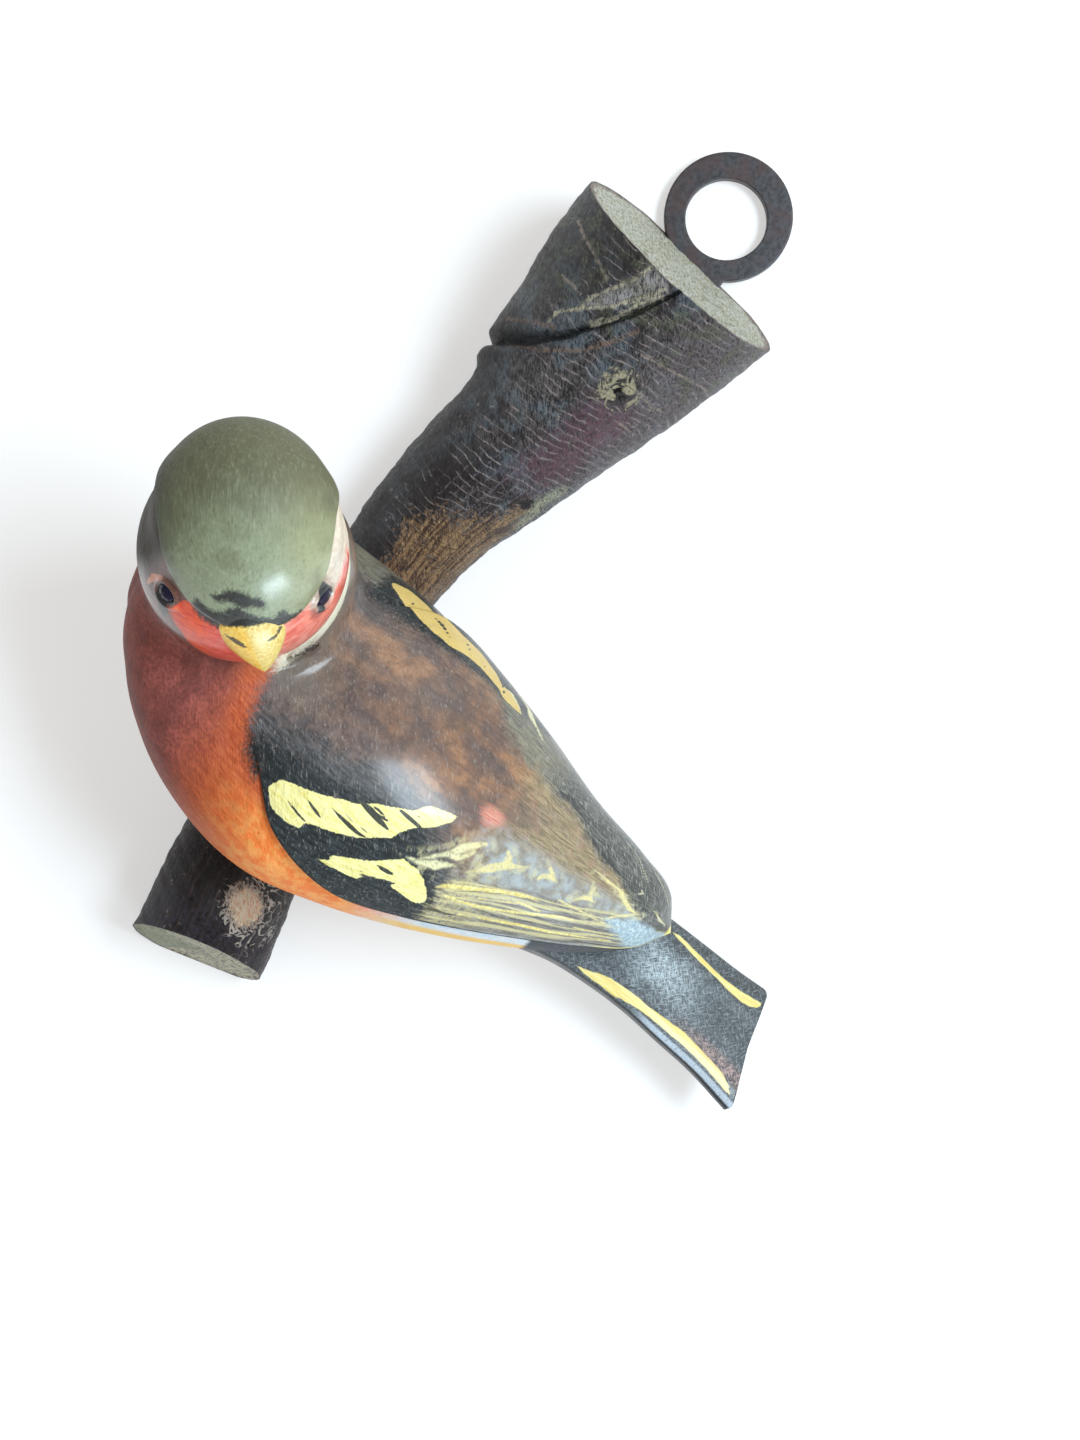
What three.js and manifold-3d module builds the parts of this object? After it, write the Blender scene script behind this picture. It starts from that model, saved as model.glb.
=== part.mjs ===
// A painted finch carved in wood, sitting across a piece of natural branch that hangs by a flat ring.
// Millimetres. The planed back of the branch lies in Z = 0 against the wall and +Z points off the wall.
// +X runs along the bird to its tail, +Y runs up the branch to the ring, and the origin lies on the
// planed back under the bird's seat.
import * as THREE from 'three';
import { mergeVertices } from 'three/addons/utils/BufferGeometryUtils.js';
import Module from 'manifold-3d';

// Clearance between fitted pieces
const fitGap = 0.3;

// Seat: a flat planed on the branch, with the belly planed to lie on it
const seatHeight = 17.2;
const seatReach = 30;
const seatLow = -20;
const seatHigh = 17;

// Torso with folded wings
const breastReach = 36.9;
const torsoLength = 111.4;
const torsoWidth = 56;
const backRise = 18.4;
const bellyDrop = 21.5;
const spineHeight = 38.3;
const spineDrop = 20.3;
const spineSide = -3.7;
const spineSway = 11.4;
const bodyRoll = 24;
const sectionPower = 2.25;

// Wings: how far they stand proud of the flanks, and where the carved edge starts
const wingProud = 1.3;
const wingStart = -2;
const wingFull = 12;
const wingEdgeSlit = 0.02;
const wingTipFade = 28;

// Tail
const tailRoot = 44;
const tailLength = 55.9;
const tailWidth = 22.8;
const tailThickness = 8.4;
const tailSlant = 0.278;
const tailNotch = 0.8;
const tailCorner = 1.4;
const tailRoll = 20;
const tailSide = -4.8;
const tailSway = 1.9;
const tailHeight = 21.5;
const tailDrop = 12.5;

// Neck: the glue line between body and head
const neckX = -19.3;
const neckY = 11.2;
const neckHeight = 58;
const neckLeanBack = 0.06;
const neckLeanLeft = 0.07;
const neckRadius = 16.9;
const neckDepth = 20;
const neckSink = 6;

// Head, turned over the left shoulder and bowed
const headTurn = 50;
const headBow = 24;
const crownBack = 4.6;
const crownLeft = 1.9;
const crownLift = 11;
const crownLength = 33.4;
const crownWidth = 29.2;
const crownHeight = 27;
const cheekBack = 1.3;
const cheekLift = 2.5;
const cheekLength = 34.8;
const cheekWidth = 33.2;
const cheekHeight = 33;
const headBlend = 0.8;

// Beak
const beakForward = 13;
const beakLift = 0.8;
const beakRoot = 4;
const beakLength = 10.5;
const beakWidth = 13;
const beakHeight = 8.2;
const beakBow = 27;
const beakTaper = 1.7;
const beakShift = -0.85;
const beakLean = 1.85;
const beakPoint = 0.03;

// Eyes: glass beads on pegs
const eyeRadius = 2;
const eyePegRadius = 0.8;
const eyePegLength = 6;
const eyeProud = 0.9;
const leftEyeAim = { forward: 11.3, left: 11.1, up: 3.5 };
const rightEyeAim = { forward: 8.1, left: -12.4, up: 6.6 };

// Dowel through the glue line
const dowelRadius = 4;
const dowelLength = 20;

// Branch
const branchLow = -55.8;
const branchHigh = 105.3;
const branchThick = 44;
const branchBow = 11.6;
const backFlat = 0.8;
const highBevel = 0.361;
const highSkew = -0.13;
const highPivot = 4;
const lowBevel = 0.33;
const lowSkew = 0.27;
const lowPivot = 8.3;

// Lumps of the bark: height in mm, shares along and angles round with the spread of each
const collar = { height: 1.3, along: 0.88, slant: 0.08, alongSpread: 0.035, fadeFrom: 0.6, fadeTo: 0 };
const knob = { height: 0.5, along: 0.757, alongSpread: 0.02, around: -1.4, aroundSpread: 0.4 };
const knot = { height: 1.3, along: 0.107, alongSpread: 0.033, around: 0.45, aroundSpread: 0.5 };

// Hanger: flat ring in one piece with a tang that is let into the back
const ringX = 4.8;
const ringReach = 9.9;
const ringRadius = 12;
const ringHoleRadius = 7.65;
const ringHoleShift = 0.7;
const plateThickness = 2;
const plateInset = 0.3;
const tangWidth = 13;
const tangLength = 33;

// Countersunk wood screws
const perchScrew = { length: 30, radius: 2, headRadius: 3.9, headDepth: 2.3, pitch: 2, threadFrom: 12 };
const hangerScrew = { length: 14, radius: 1.6, headRadius: 3.1, headDepth: 1.8, pitch: 1.5, threadFrom: 4 };
const perchScrewX = -1.5;
const perchScrewLow = -11.5;
const perchScrewHigh = 5.5;
const hangerScrewFirst = 12;
const hangerScrewPitch = 15;
const slotWidth = 0.9;
const slotDepth = 0.9;
const headRim = 0.3;
const coreShare = 0.72;

const wasm = await Module();
wasm.setup();
const degree = Math.PI / 180;

// Value of each column of a table at x: cubic curves through its rows with parabola slopes
function smoothRow(table, x) {
  const last = table.length - 1;
  const at = Math.min(Math.max(x, table[0][0]), table[last][0]);
  let i = 0;
  while (i < last - 1 && table[i + 1][0] < at) {
    i += 1;
  }
  const step = (k) => table[k + 1][0] - table[k][0];
  const rise = (k, c) => (table[k + 1][c] - table[k][c]) / step(k);
  const slope = (k, c) => {
    if (k === 0) {
      return rise(0, c);
    }
    if (k === last) {
      return rise(last - 1, c);
    }
    return (rise(k - 1, c) * step(k) + rise(k, c) * step(k - 1)) / (step(k - 1) + step(k));
  };
  const h = step(i);
  const t = (at - table[i][0]) / h;
  const t2 = t * t;
  const t3 = t2 * t;
  return table[i].slice(1).map((value, j) => {
    const c = j + 1;
    return (2 * t3 - 3 * t2 + 1) * value + (t3 - 2 * t2 + t) * h * slope(i, c)
      + (3 * t2 - 2 * t3) * table[i + 1][c] + (t3 - t2) * h * slope(i + 1, c);
  });
}

function smoothStep(value, low, high) {
  const t = Math.min(Math.max((value - low) / (high - low), 0), 1);
  return t * t * (3 - 2 * t);
}

// The larger of two lengths, rounded over a width
function smoothMax(a, b, width) {
  const share = Math.min(Math.max(0.5 + 0.5 * (a - b) / width, 0), 1);
  return a * share + b * (1 - share) + width * share * (1 - share);
}

function signedPower(value, power) {
  return Math.sign(value) * Math.abs(value) ** power;
}

// Distance along a unit ray to the far wall of an ellipsoid
function rayToEllipsoid(origin, ray, centre, axes, radii) {
  const from = axes.map((axis, k) => origin.clone().sub(centre).dot(axis) / radii[k]);
  const along = axes.map((axis, k) => ray.dot(axis) / radii[k]);
  const dot = (p, q) => p[0] * q[0] + p[1] * q[1] + p[2] * q[2];
  const a = dot(along, along);
  const b = dot(along, from);
  const disc = b * b - a * (dot(from, from) - 1);
  return disc > 0 ? (-b + Math.sqrt(disc)) / a : 0;
}

function toSolid(geometry) {
  const bare = geometry.clone();
  bare.deleteAttribute('normal');
  bare.deleteAttribute('uv');
  const merged = mergeVertices(bare, 1e-4);
  return new wasm.Manifold(new wasm.Mesh({
    numProp: 3,
    vertProperties: new Float32Array(merged.attributes.position.array),
    triVerts: new Uint32Array(merged.index.array),
  }));
}

function toGeometry(solid) {
  const mesh = solid.getMesh();
  const geometry = new THREE.BufferGeometry();
  geometry.setAttribute('position', new THREE.Float32BufferAttribute(mesh.vertProperties, 3));
  geometry.setIndex(Array.from(mesh.triVerts));
  geometry.computeVertexNormals();
  return geometry;
}

function join(first, ...others) {
  return others.reduce((whole, other) => whole.add(other), first);
}

function cut(first, ...others) {
  return others.reduce((whole, other) => whole.subtract(other), first);
}

// Closed skin over rings of equal point counts, with a fan over each end
function skinRings(rings) {
  const sides = rings[0].length;
  const points = rings.flat();
  const middle = (ring) => ring.reduce((sum, p) => sum.add(p), new THREE.Vector3()).divideScalar(sides);
  const first = points.length;
  points.push(middle(rings[0]), middle(rings[rings.length - 1]));
  const faces = [];
  for (let r = 0; r < rings.length - 1; r += 1) {
    for (let s = 0; s < sides; s += 1) {
      const next = (s + 1) % sides;
      const a = r * sides + s;
      const b = r * sides + next;
      const c = (r + 1) * sides + next;
      const d = (r + 1) * sides + s;
      faces.push(a, b, c, a, c, d);
    }
  }
  const lastRing = (rings.length - 1) * sides;
  for (let s = 0; s < sides; s += 1) {
    const next = (s + 1) % sides;
    faces.push(first, next, s);
    faces.push(first + 1, lastRing + s, lastRing + next);
  }
  const geometry = new THREE.BufferGeometry();
  geometry.setAttribute('position', new THREE.Float32BufferAttribute(points.flatMap((p) => [p.x, p.y, p.z]), 3));
  geometry.setIndex(faces);
  return geometry;
}

// Cylinder or cone from one point towards another
function rod(from, to, radiusFrom, radiusTo = radiusFrom, sides = 20) {
  const along = to.clone().sub(from);
  const geometry = new THREE.CylinderGeometry(radiusTo, radiusFrom, along.length(), sides);
  geometry.translate(0, along.length() / 2, 0);
  const up = new THREE.Vector3(0, 1, 0);
  geometry.applyQuaternion(new THREE.Quaternion().setFromUnitVectors(up, along.normalize()));
  geometry.translate(from.x, from.y, from.z);
  return toSolid(geometry);
}

function block(low, high) {
  const geometry = new THREE.BoxGeometry(high.x - low.x, high.y - low.y, high.z - low.z);
  geometry.translate((low.x + high.x) / 2, (low.y + high.y) / 2, (low.z + high.z) / 2);
  return toSolid(geometry);
}

// Neck frame: the axis of the neck and two directions in the glue line
const neckAxis = new THREE.Vector3(neckLeanBack, -neckLeanLeft, 1).normalize();
const neckPoint = new THREE.Vector3(neckX, neckY, neckHeight);
const neckForward = new THREE.Vector3(0, 1, 0).cross(neckAxis).normalize();
const neckAcross = neckAxis.clone().cross(neckForward);

function alongNeck(distance) {
  return neckPoint.clone().addScaledVector(neckAxis, distance);
}

// Torso table: share of length, then shares of half width, back rise, belly drop, sway and drop
const torsoTable = [
  [0, 0, 0, 0, 1, 0],
  [0.01, 0.246, 0.283, 0.288, 0.833, 0],
  [0.035, 0.429, 0.5, 0.488, 0.649, 0],
  [0.089, 0.654, 0.674, 0.721, 0.5, 0.015],
  [0.17, 0.864, 0.739, 0.907, 0.377, 0.015],
  [0.277, 0.975, 0.842, 1, 0.167, 0.039],
  [0.403, 0.996, 0.978, 0.967, 0.026, 0.079],
  [0.529, 0.882, 1, 0.837, 0, 0.163],
  [0.654, 0.721, 0.924, 0.674, 0.035, 0.31],
  [0.78, 0.521, 0.734, 0.512, 0.114, 0.517],
  [0.888, 0.354, 0.516, 0.316, 0.298, 0.729],
  [0.96, 0.189, 0.315, 0.167, 0.456, 0.901],
  [1, 0, 0, 0, 0.553, 1],
];

// Lower edge of the folded wings: share of length, angle down from the middle of the back
const wingEdgeTable = [
  [0, 46], [0.295, 46], [0.331, 50], [0.367, 56], [0.403, 62], [0.439, 66], [0.475, 70],
  [0.542, 76], [0.636, 75], [0.735, 71], [0.825, 67], [0.91, 64], [1, 66],
];

// Point of the torso's skin in a direction of its section, with the wings raised
function torsoPoint(share, angle, onWing) {
  const row = smoothRow(torsoTable, share).map((value, k) => (k < 3 ? Math.max(value, 1e-4) : value));
  const [widthShare, backShare, bellyShare, swayShare, dropShare] = row;
  const x = torsoLength * share - breastReach;
  const centre = new THREE.Vector3(x, spineSide + spineSway * swayShare, spineHeight - spineDrop * dropShare);
  const across = Math.sin(angle);
  const up = Math.cos(angle);
  const height = up > 0 ? backRise * backShare : bellyDrop * bellyShare;
  const width = torsoWidth / 2 * widthShare;
  const plain = (Math.abs(across / width) ** sectionPower + Math.abs(up / height) ** sectionPower)
    ** (-1 / sectionPower);
  const roll = bodyRoll * degree;
  const ray = new THREE.Vector3(0, across * Math.cos(roll) + up * Math.sin(roll),
    up * Math.cos(roll) - across * Math.sin(roll));
  const nearTip = Math.min((1 - share) * wingTipFade, 1);
  const proud = onWing ? wingProud * smoothStep(x, wingStart, wingFull) * nearTip : 0;
  return centre.addScaledVector(ray, plain + proud);
}

function makeTorso(steps = 34, wingSides = 9, bellySides = 10) {
  const rings = [];
  for (let i = 0; i < steps; i += 1) {
    const share = 0.5 - 0.5 * Math.cos(Math.PI * (i + 0.25) / (steps - 0.5));
    const edge = smoothRow(wingEdgeTable, share)[0] * degree;
    const ring = [];
    for (let k = -wingSides; k <= wingSides; k += 1) {
      ring.push(torsoPoint(share, edge * k / wingSides, true));
    }
    for (let k = 0; k < 2 * bellySides; k += 1) {
      const low = edge + wingEdgeSlit;
      ring.push(torsoPoint(share, low + (2 * Math.PI - 2 * low) * k / (2 * bellySides - 1), false));
    }
    rings.push(ring.reverse());
  }
  return toSolid(skinRings(rings));
}

// Tail table: share of length, then shares of half width, thickness, sway and drop
const tailTable = [
  [0, 0.965, 1, 0.82, 0],
  [0.144, 0.921, 0.857, 0.545, 0.24],
  [0.288, 0.842, 0.738, 0.136, 0.44],
  [0.432, 0.825, 0.643, 0, 0.616],
  [0.577, 0.833, 0.571, 0.045, 0.76],
  [0.721, 0.868, 0.524, 0.318, 0.872],
  [0.865, 0.904, 0.476, 0.591, 0.952],
  [1, 1, 0.452, 1, 1],
];

function makeTail(steps = 14, sides = 24, power = 3.5) {
  const rings = [];
  const roll = tailRoll * degree;
  for (let i = 0; i < steps; i += 1) {
    const share = i / (steps - 1);
    const [widthShare, thickShare, swayShare, dropShare] = smoothRow(tailTable, share);
    const half = tailWidth / 2 * widthShare;
    const ring = [];
    for (let k = 0; k < sides; k += 1) {
      const angle = 2 * Math.PI * k / sides;
      const across = half * signedPower(Math.sin(angle), 2 / power);
      const up = tailThickness / 2 * thickShare * signedPower(Math.cos(angle), 2 / power);
      const pastCorner = Math.max((Math.abs(across) - half) / tailCorner + 1, 0);
      const corner = tailCorner * (1 - Math.sqrt(Math.max(1 - pastCorner ** 2, 0)));
      const stretch = share ** 3 * (-tailSlant * across - tailNotch * (1 - Math.abs(across / half)) - corner);
      ring.push(new THREE.Vector3(
        tailRoot + tailLength * share + stretch,
        tailSide - tailSway * swayShare + across * Math.cos(roll) + up * Math.sin(roll),
        tailHeight - tailDrop * dropShare + up * Math.cos(roll) - across * Math.sin(roll),
      ));
    }
    rings.push(ring.reverse());
  }
  return toSolid(skinRings(rings));
}

// Head frame: forward along the beak's heading, to the bird's left, and up
function headAxes(bow) {
  const turn = -headTurn * degree;
  const tilt = bow * degree;
  const forward = new THREE.Vector3(
    Math.cos(tilt) * Math.cos(turn), Math.cos(tilt) * Math.sin(turn), -Math.sin(tilt));
  const up = new THREE.Vector3(
    Math.sin(tilt) * Math.cos(turn), Math.sin(tilt) * Math.sin(turn), Math.cos(tilt));
  return [forward, up.clone().cross(forward), up];
}

const [headForward, headLeft, headUp] = headAxes(headBow);
const levelAxes = headAxes(0);

// Point placed from the neck: back, left and up as the head faces
function fromNeck(back, left, up) {
  return neckPoint.clone().addScaledVector(levelAxes[0], -back)
    .addScaledVector(levelAxes[1], left).addScaledVector(levelAxes[2], up);
}

const crownCentre = fromNeck(crownBack, crownLeft, crownLift);
const cheekCentre = fromNeck(cheekBack, 0, cheekLift);
const headCentre = crownCentre.clone().lerp(cheekCentre, 0.5);

function headRadius(ray) {
  const crown = rayToEllipsoid(headCentre, ray, crownCentre, [headForward, headLeft, headUp],
    [crownLength / 2, crownWidth / 2, crownHeight / 2]);
  const cheek = rayToEllipsoid(headCentre, ray, cheekCentre, levelAxes,
    [cheekLength / 2, cheekWidth / 2, cheekHeight / 2]);
  return smoothMax(crown, cheek, headBlend);
}

function makeSkull(steps = 22, sides = 34) {
  const rings = [];
  for (let i = 0; i < steps; i += 1) {
    const polar = Math.PI * (i + 0.3) / (steps - 0.4);
    const ring = [];
    for (let k = 0; k < sides; k += 1) {
      const turn = 2 * Math.PI * k / sides;
      const ray = neckAxis.clone().multiplyScalar(Math.cos(polar))
        .addScaledVector(neckForward, Math.sin(polar) * Math.cos(turn))
        .addScaledVector(neckAcross, Math.sin(polar) * Math.sin(turn));
      ring.push(headCentre.clone().addScaledVector(ray, headRadius(ray)));
    }
    rings.push(ring.reverse());
  }
  return toSolid(skinRings(rings));
}

function inHead({ forward, left, up }) {
  return crownCentre.clone().addScaledVector(headForward, forward)
    .addScaledVector(headLeft, left).addScaledVector(headUp, up);
}

// Stout finch's beak: an elliptic cone whose sides belly out before the point
function makeBeak(steps = 9, sides = 20) {
  const [ahead, aside, above] = headAxes(beakBow);
  const base = fromNeck(crownBack - beakForward, crownLeft, crownLift + beakLift);
  const rings = [];
  for (let i = -1; i < steps; i += 1) {
    const share = Math.max(i / (steps - 1), 0);
    const size = Math.max(1 - share ** beakTaper, beakPoint);
    const reach = i < 0 ? -beakRoot : beakLength * share;
    const ring = [];
    for (let k = 0; k < sides; k += 1) {
      const angle = 2 * Math.PI * k / sides;
      ring.push(base.clone().addScaledVector(ahead, reach)
        .addScaledVector(aside, beakWidth / 2 * size * Math.sin(angle) + beakShift + beakLean * share)
        .addScaledVector(above, beakHeight / 2 * size * Math.cos(angle)));
    }
    rings.push(ring.reverse());
  }
  return toSolid(skinRings(rings));
}

// Upright ellipsoid sunk in the shoulders: the neck that carries the head
function makeNeck() {
  const geometry = new THREE.SphereGeometry(1, 32, 22);
  geometry.rotateX(Math.PI / 2);
  geometry.scale(neckRadius, neckRadius, neckDepth);
  geometry.translate(neckX, neckY, neckHeight - neckSink);
  return toSolid(geometry);
}

// Where an eye sits: the bead's centre, and the outward direction of its peg
function eyeSeat(aim) {
  const ray = inHead(aim).sub(headCentre).normalize();
  const surface = headCentre.clone().addScaledVector(ray, headRadius(ray));
  return { outward: ray, centre: surface.addScaledVector(ray, eyeProud - eyeRadius) };
}

function eyeBall(seat, grow) {
  const ball = new THREE.SphereGeometry(eyeRadius + grow, 14, 9);
  ball.translate(seat.centre.x, seat.centre.y, seat.centre.z);
  const end = seat.centre.clone().addScaledVector(seat.outward, -(eyePegLength + grow));
  return join(toSolid(ball), rod(end, seat.centre, eyePegRadius + grow, eyePegRadius + grow, 10));
}

// Branch table: share of length, then half thickness share and bow share
const branchTable = [
  [-0.03, 0.595, 1.29],
  [0, 0.586, 1.23],
  [0.098, 0.564, 0.95],
  [0.192, 0.51, 0.66],
  [0.347, 0.464, 0.26],
  [0.472, 0.45, 0],
  [0.571, 0.514, 0.03],
  [0.658, 0.609, 0.27],
  [0.721, 0.659, 0.48],
  [0.77, 0.732, 0.58],
  [0.82, 0.818, 0.64],
  [0.894, 0.942, 0.73],
  [0.957, 1, 0.85],
  [1.02, 1.035, 1],
];
const branchSide = -5.3;

// Lift of the bark: the collar that slants up its left side, a knob under it and a knot on the low end
function barkLift(share, angle) {
  const bell = (value, spread) => Math.exp(-((value / spread) ** 2));
  const bump = (lump) => lump.height * bell(share - lump.along, lump.alongSpread)
    * bell(angle - lump.around, lump.aroundSpread);
  const onCollar = bell(share - collar.along - collar.slant * Math.sin(angle), collar.alongSpread);
  return collar.height * onCollar * smoothStep(angle, collar.fadeFrom, collar.fadeTo) + bump(knob) + bump(knot);
}

function branchSection(share) {
  const [thickShare, bowShare] = smoothRow(branchTable, share);
  return { radius: branchThick / 2 * thickShare, x: branchSide + branchBow * bowShare };
}

// A point of the bark; the sawn ends slant, so the place along the branch follows the height
function branchPoint(share, angle) {
  let y = branchLow + (branchHigh - branchLow) * share;
  let x = 0;
  let z = 0;
  for (let pass = 0; pass < 6; pass += 1) {
    const place = (y - branchLow) / (branchHigh - branchLow);
    const section = branchSection(place);
    const radius = section.radius + barkLift(place, angle) * Math.max(Math.cos(angle / 2), 0);
    x = section.x + radius * Math.sin(angle);
    z = section.radius * backFlat + radius * Math.cos(angle);
    const high = branchHigh - highBevel * z + highSkew * (x - highPivot);
    const low = branchLow + lowBevel * z + lowSkew * (x - lowPivot);
    y = low + (high - low) * share;
  }
  return new THREE.Vector3(x, y, Math.max(z, 0));
}

function makeBranch(steps = 40, sides = 26) {
  const widest = Math.acos(-backFlat);
  const rings = [];
  for (let i = 0; i < steps; i += 1) {
    const ring = [];
    for (let k = 0; k <= sides; k += 1) {
      ring.push(branchPoint(i / (steps - 1), widest * (2 * k / sides - 1)));
    }
    rings.push(ring.map((p, k) => (k === 0 || k === sides ? p.setZ(0) : p)));
  }
  return toSolid(skinRings(rings));
}

// Wood screw pointing up from Z = foot: slotted countersunk head, shank, ridged thread and point
function makeScrew(x, y, foot, screw) {
  const core = screw.radius * coreShare;
  const profile = [[0, 0], [screw.headRadius, 0], [screw.headRadius, headRim], [screw.radius, screw.headDepth]];
  profile.push([screw.radius, screw.threadFrom]);
  const tip = screw.length - 3 * screw.radius;
  for (let at = screw.threadFrom; at < tip - screw.pitch; at += screw.pitch) {
    profile.push([core, at + 0.25 * screw.pitch]);
    profile.push([screw.radius, at + 0.75 * screw.pitch]);
  }
  profile.push([core, tip]);
  profile.push([0, screw.length]);
  const lathe = new THREE.LatheGeometry(profile.map(([r, h]) => new THREE.Vector2(r, h)), 12);
  lathe.rotateX(Math.PI / 2);
  lathe.translate(x, y, foot);
  const slot = block(
    new THREE.Vector3(x - slotWidth / 2, y - 2 * screw.headRadius, foot - slotDepth),
    new THREE.Vector3(x + slotWidth / 2, y + 2 * screw.headRadius, foot + slotDepth));
  return cut(toSolid(lathe), slot);
}

// Countersunk hole for a screw, open to the back
function screwHole(x, y, foot, screw) {
  const at = (z) => new THREE.Vector3(x, y, z);
  const start = foot - screw.headDepth;
  const headBore = screw.headRadius + fitGap;
  const shankBore = screw.radius + fitGap;
  const mouth = rod(at(start), at(foot + headRim + fitGap), headBore);
  const sink = rod(at(foot + headRim), at(foot + screw.headDepth + fitGap), headBore, shankBore);
  const bore = rod(at(start), at(foot + screw.length + 3 * fitGap), shankBore);
  return join(mouth, sink, bore);
}

// Where things sit along the branch
const ringY = branchHigh + ringReach;
const tangEnd = ringY - ringRadius - tangLength;
const hangerFoot = plateInset;
const hangerScrews = [0, 1].map((k) => ({ x: ringX, y: tangEnd + hangerScrewFirst / 2 + hangerScrewPitch * k }));
const perchScrews = [perchScrewLow, perchScrewHigh].map((y) => ({ x: perchScrewX, y }));
const perchFoot = fitGap;

// Outline of the hanger plate, a ring and a round-ended tang, grown all round by a clearance
function plateSolid(grow, low, high, withHole) {
  const half = tangWidth / 2 + grow;
  const outer = ringRadius + grow;
  const meet = Math.asin(half / outer);
  const shape = new THREE.Shape();
  shape.absarc(ringX, ringY, outer, -Math.PI / 2 + meet, 1.5 * Math.PI - meet, false);
  shape.absarc(ringX, tangEnd + tangWidth / 2, half, -Math.PI, 0, false);
  if (withHole) {
    const hole = new THREE.Path();
    hole.absarc(ringX, ringY - ringHoleShift, ringHoleRadius, 0, 2 * Math.PI, true);
    shape.holes.push(hole);
  }
  const geometry = new THREE.ExtrudeGeometry(shape, { depth: high - low, bevelEnabled: false, curveSegments: 26 });
  geometry.translate(0, 0, low);
  return toSolid(geometry);
}

// Cutting bodies: the neck's column above and below the glue line, the dowel's bore and the seat
const columnSides = 40;
const seams = {
  aboveNeck: rod(alongNeck(0), alongNeck(2 * neckDepth), neckRadius, neckRadius, columnSides),
  belowNeck: rod(alongNeck(fitGap), alongNeck(-2 * neckDepth), 2 * neckDepth, 2 * neckDepth, columnSides),
  dowelBore: rod(alongNeck(-dowelLength / 2 - fitGap), alongNeck(dowelLength / 2 + 2 * fitGap),
    dowelRadius + fitGap),
};
const belowBelly = block(
  new THREE.Vector3(-seatReach, seatLow, 0),
  new THREE.Vector3(seatReach, seatHigh, seatHeight + fitGap));
const aboveSeat = block(
  new THREE.Vector3(-seatReach, seatLow, seatHeight),
  new THREE.Vector3(seatReach, seatHigh, seatHeight + branchThick));
const perchHoles = perchScrews.map((at) => screwHole(at.x, at.y, perchFoot, perchScrew));
const hangerHoles = hangerScrews.map((at) => screwHole(at.x, at.y, hangerFoot, hangerScrew));
const eyes = { left: eyeSeat(leftEyeAim), right: eyeSeat(rightEyeAim) };

const solids = {
  branch_log: cut(makeBranch(), aboveSeat,
    plateSolid(fitGap, -plateThickness, hangerFoot + plateThickness + fitGap, false),
    ...perchHoles, ...hangerHoles),
  bird_body: cut(join(makeTorso(), makeNeck(), makeTail()), seams.aboveNeck, belowBelly, seams.dowelBore, ...perchHoles),
  bird_head: cut(join(cut(makeSkull(), seams.belowNeck), makeBeak()), seams.dowelBore,
    eyeBall(eyes.left, fitGap), eyeBall(eyes.right, fitGap)),
  neck_dowel: rod(alongNeck(-dowelLength / 2), alongNeck(dowelLength / 2 + fitGap), dowelRadius),
  left_eye: eyeBall(eyes.left, 0),
  right_eye: eyeBall(eyes.right, 0),
  hanger_ring: cut(plateSolid(0, hangerFoot, hangerFoot + plateThickness, true), ...hangerHoles),
  perch_screw_1: makeScrew(perchScrews[0].x, perchScrews[0].y, perchFoot, perchScrew),
  perch_screw_2: makeScrew(perchScrews[1].x, perchScrews[1].y, perchFoot, perchScrew),
  hanger_screw_1: makeScrew(hangerScrews[0].x, hangerScrews[0].y, hangerFoot, hangerScrew),
  hanger_screw_2: makeScrew(hangerScrews[1].x, hangerScrews[1].y, hangerFoot, hangerScrew),
};

// Finishes: colour, roughness, metalness
const finishes = {
  bark: [0x4a423c, 0.8, 0],
  paintedBody: [0x7c5a48, 0.35, 0],
  paintedCrown: [0x6b6e54, 0.3, 0],
  bareWood: [0xb58a5c, 0.7, 0],
  blackGlass: [0x0b0c10, 0.08, 0],
  darkSteel: [0x5b5d60, 0.45, 0.9],
};
const finishOf = {
  branch_log: 'bark',
  bird_body: 'paintedBody',
  bird_head: 'paintedCrown',
  neck_dowel: 'bareWood',
  left_eye: 'blackGlass',
  right_eye: 'blackGlass',
};

const finch = new THREE.Group();
for (const [name, solid] of Object.entries(solids)) {
  const [color, roughness, metalness] = finishes[finishOf[name] ?? 'darkSteel'];
  const mesh = new THREE.Mesh(toGeometry(solid), new THREE.MeshStandardMaterial({ color, roughness, metalness }));
  mesh.name = name;
  finch.add(mesh);
}

export default finch;
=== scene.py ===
import math

import bpy
import numpy as np
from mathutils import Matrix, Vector


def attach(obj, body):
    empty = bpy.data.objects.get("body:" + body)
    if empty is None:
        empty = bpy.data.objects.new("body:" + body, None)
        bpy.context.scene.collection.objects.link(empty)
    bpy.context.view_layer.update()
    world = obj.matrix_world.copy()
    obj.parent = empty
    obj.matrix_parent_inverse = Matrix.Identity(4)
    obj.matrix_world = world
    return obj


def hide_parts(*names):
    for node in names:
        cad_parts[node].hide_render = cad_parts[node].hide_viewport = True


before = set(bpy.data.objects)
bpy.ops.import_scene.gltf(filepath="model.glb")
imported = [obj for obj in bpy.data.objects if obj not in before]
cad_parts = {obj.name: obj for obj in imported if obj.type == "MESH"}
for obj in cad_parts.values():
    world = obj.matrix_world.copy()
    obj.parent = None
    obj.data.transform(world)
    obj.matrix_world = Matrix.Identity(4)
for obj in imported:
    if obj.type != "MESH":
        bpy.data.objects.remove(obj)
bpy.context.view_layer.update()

# all shape sizes below are millimetres in the part's frame; meshes are written in metres
mm = 0.001
degree = math.pi / 180
cameraTurn = math.atan2(0.6, 0.8)  # the photo's upright against the part's, about Z


# small tools

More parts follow.
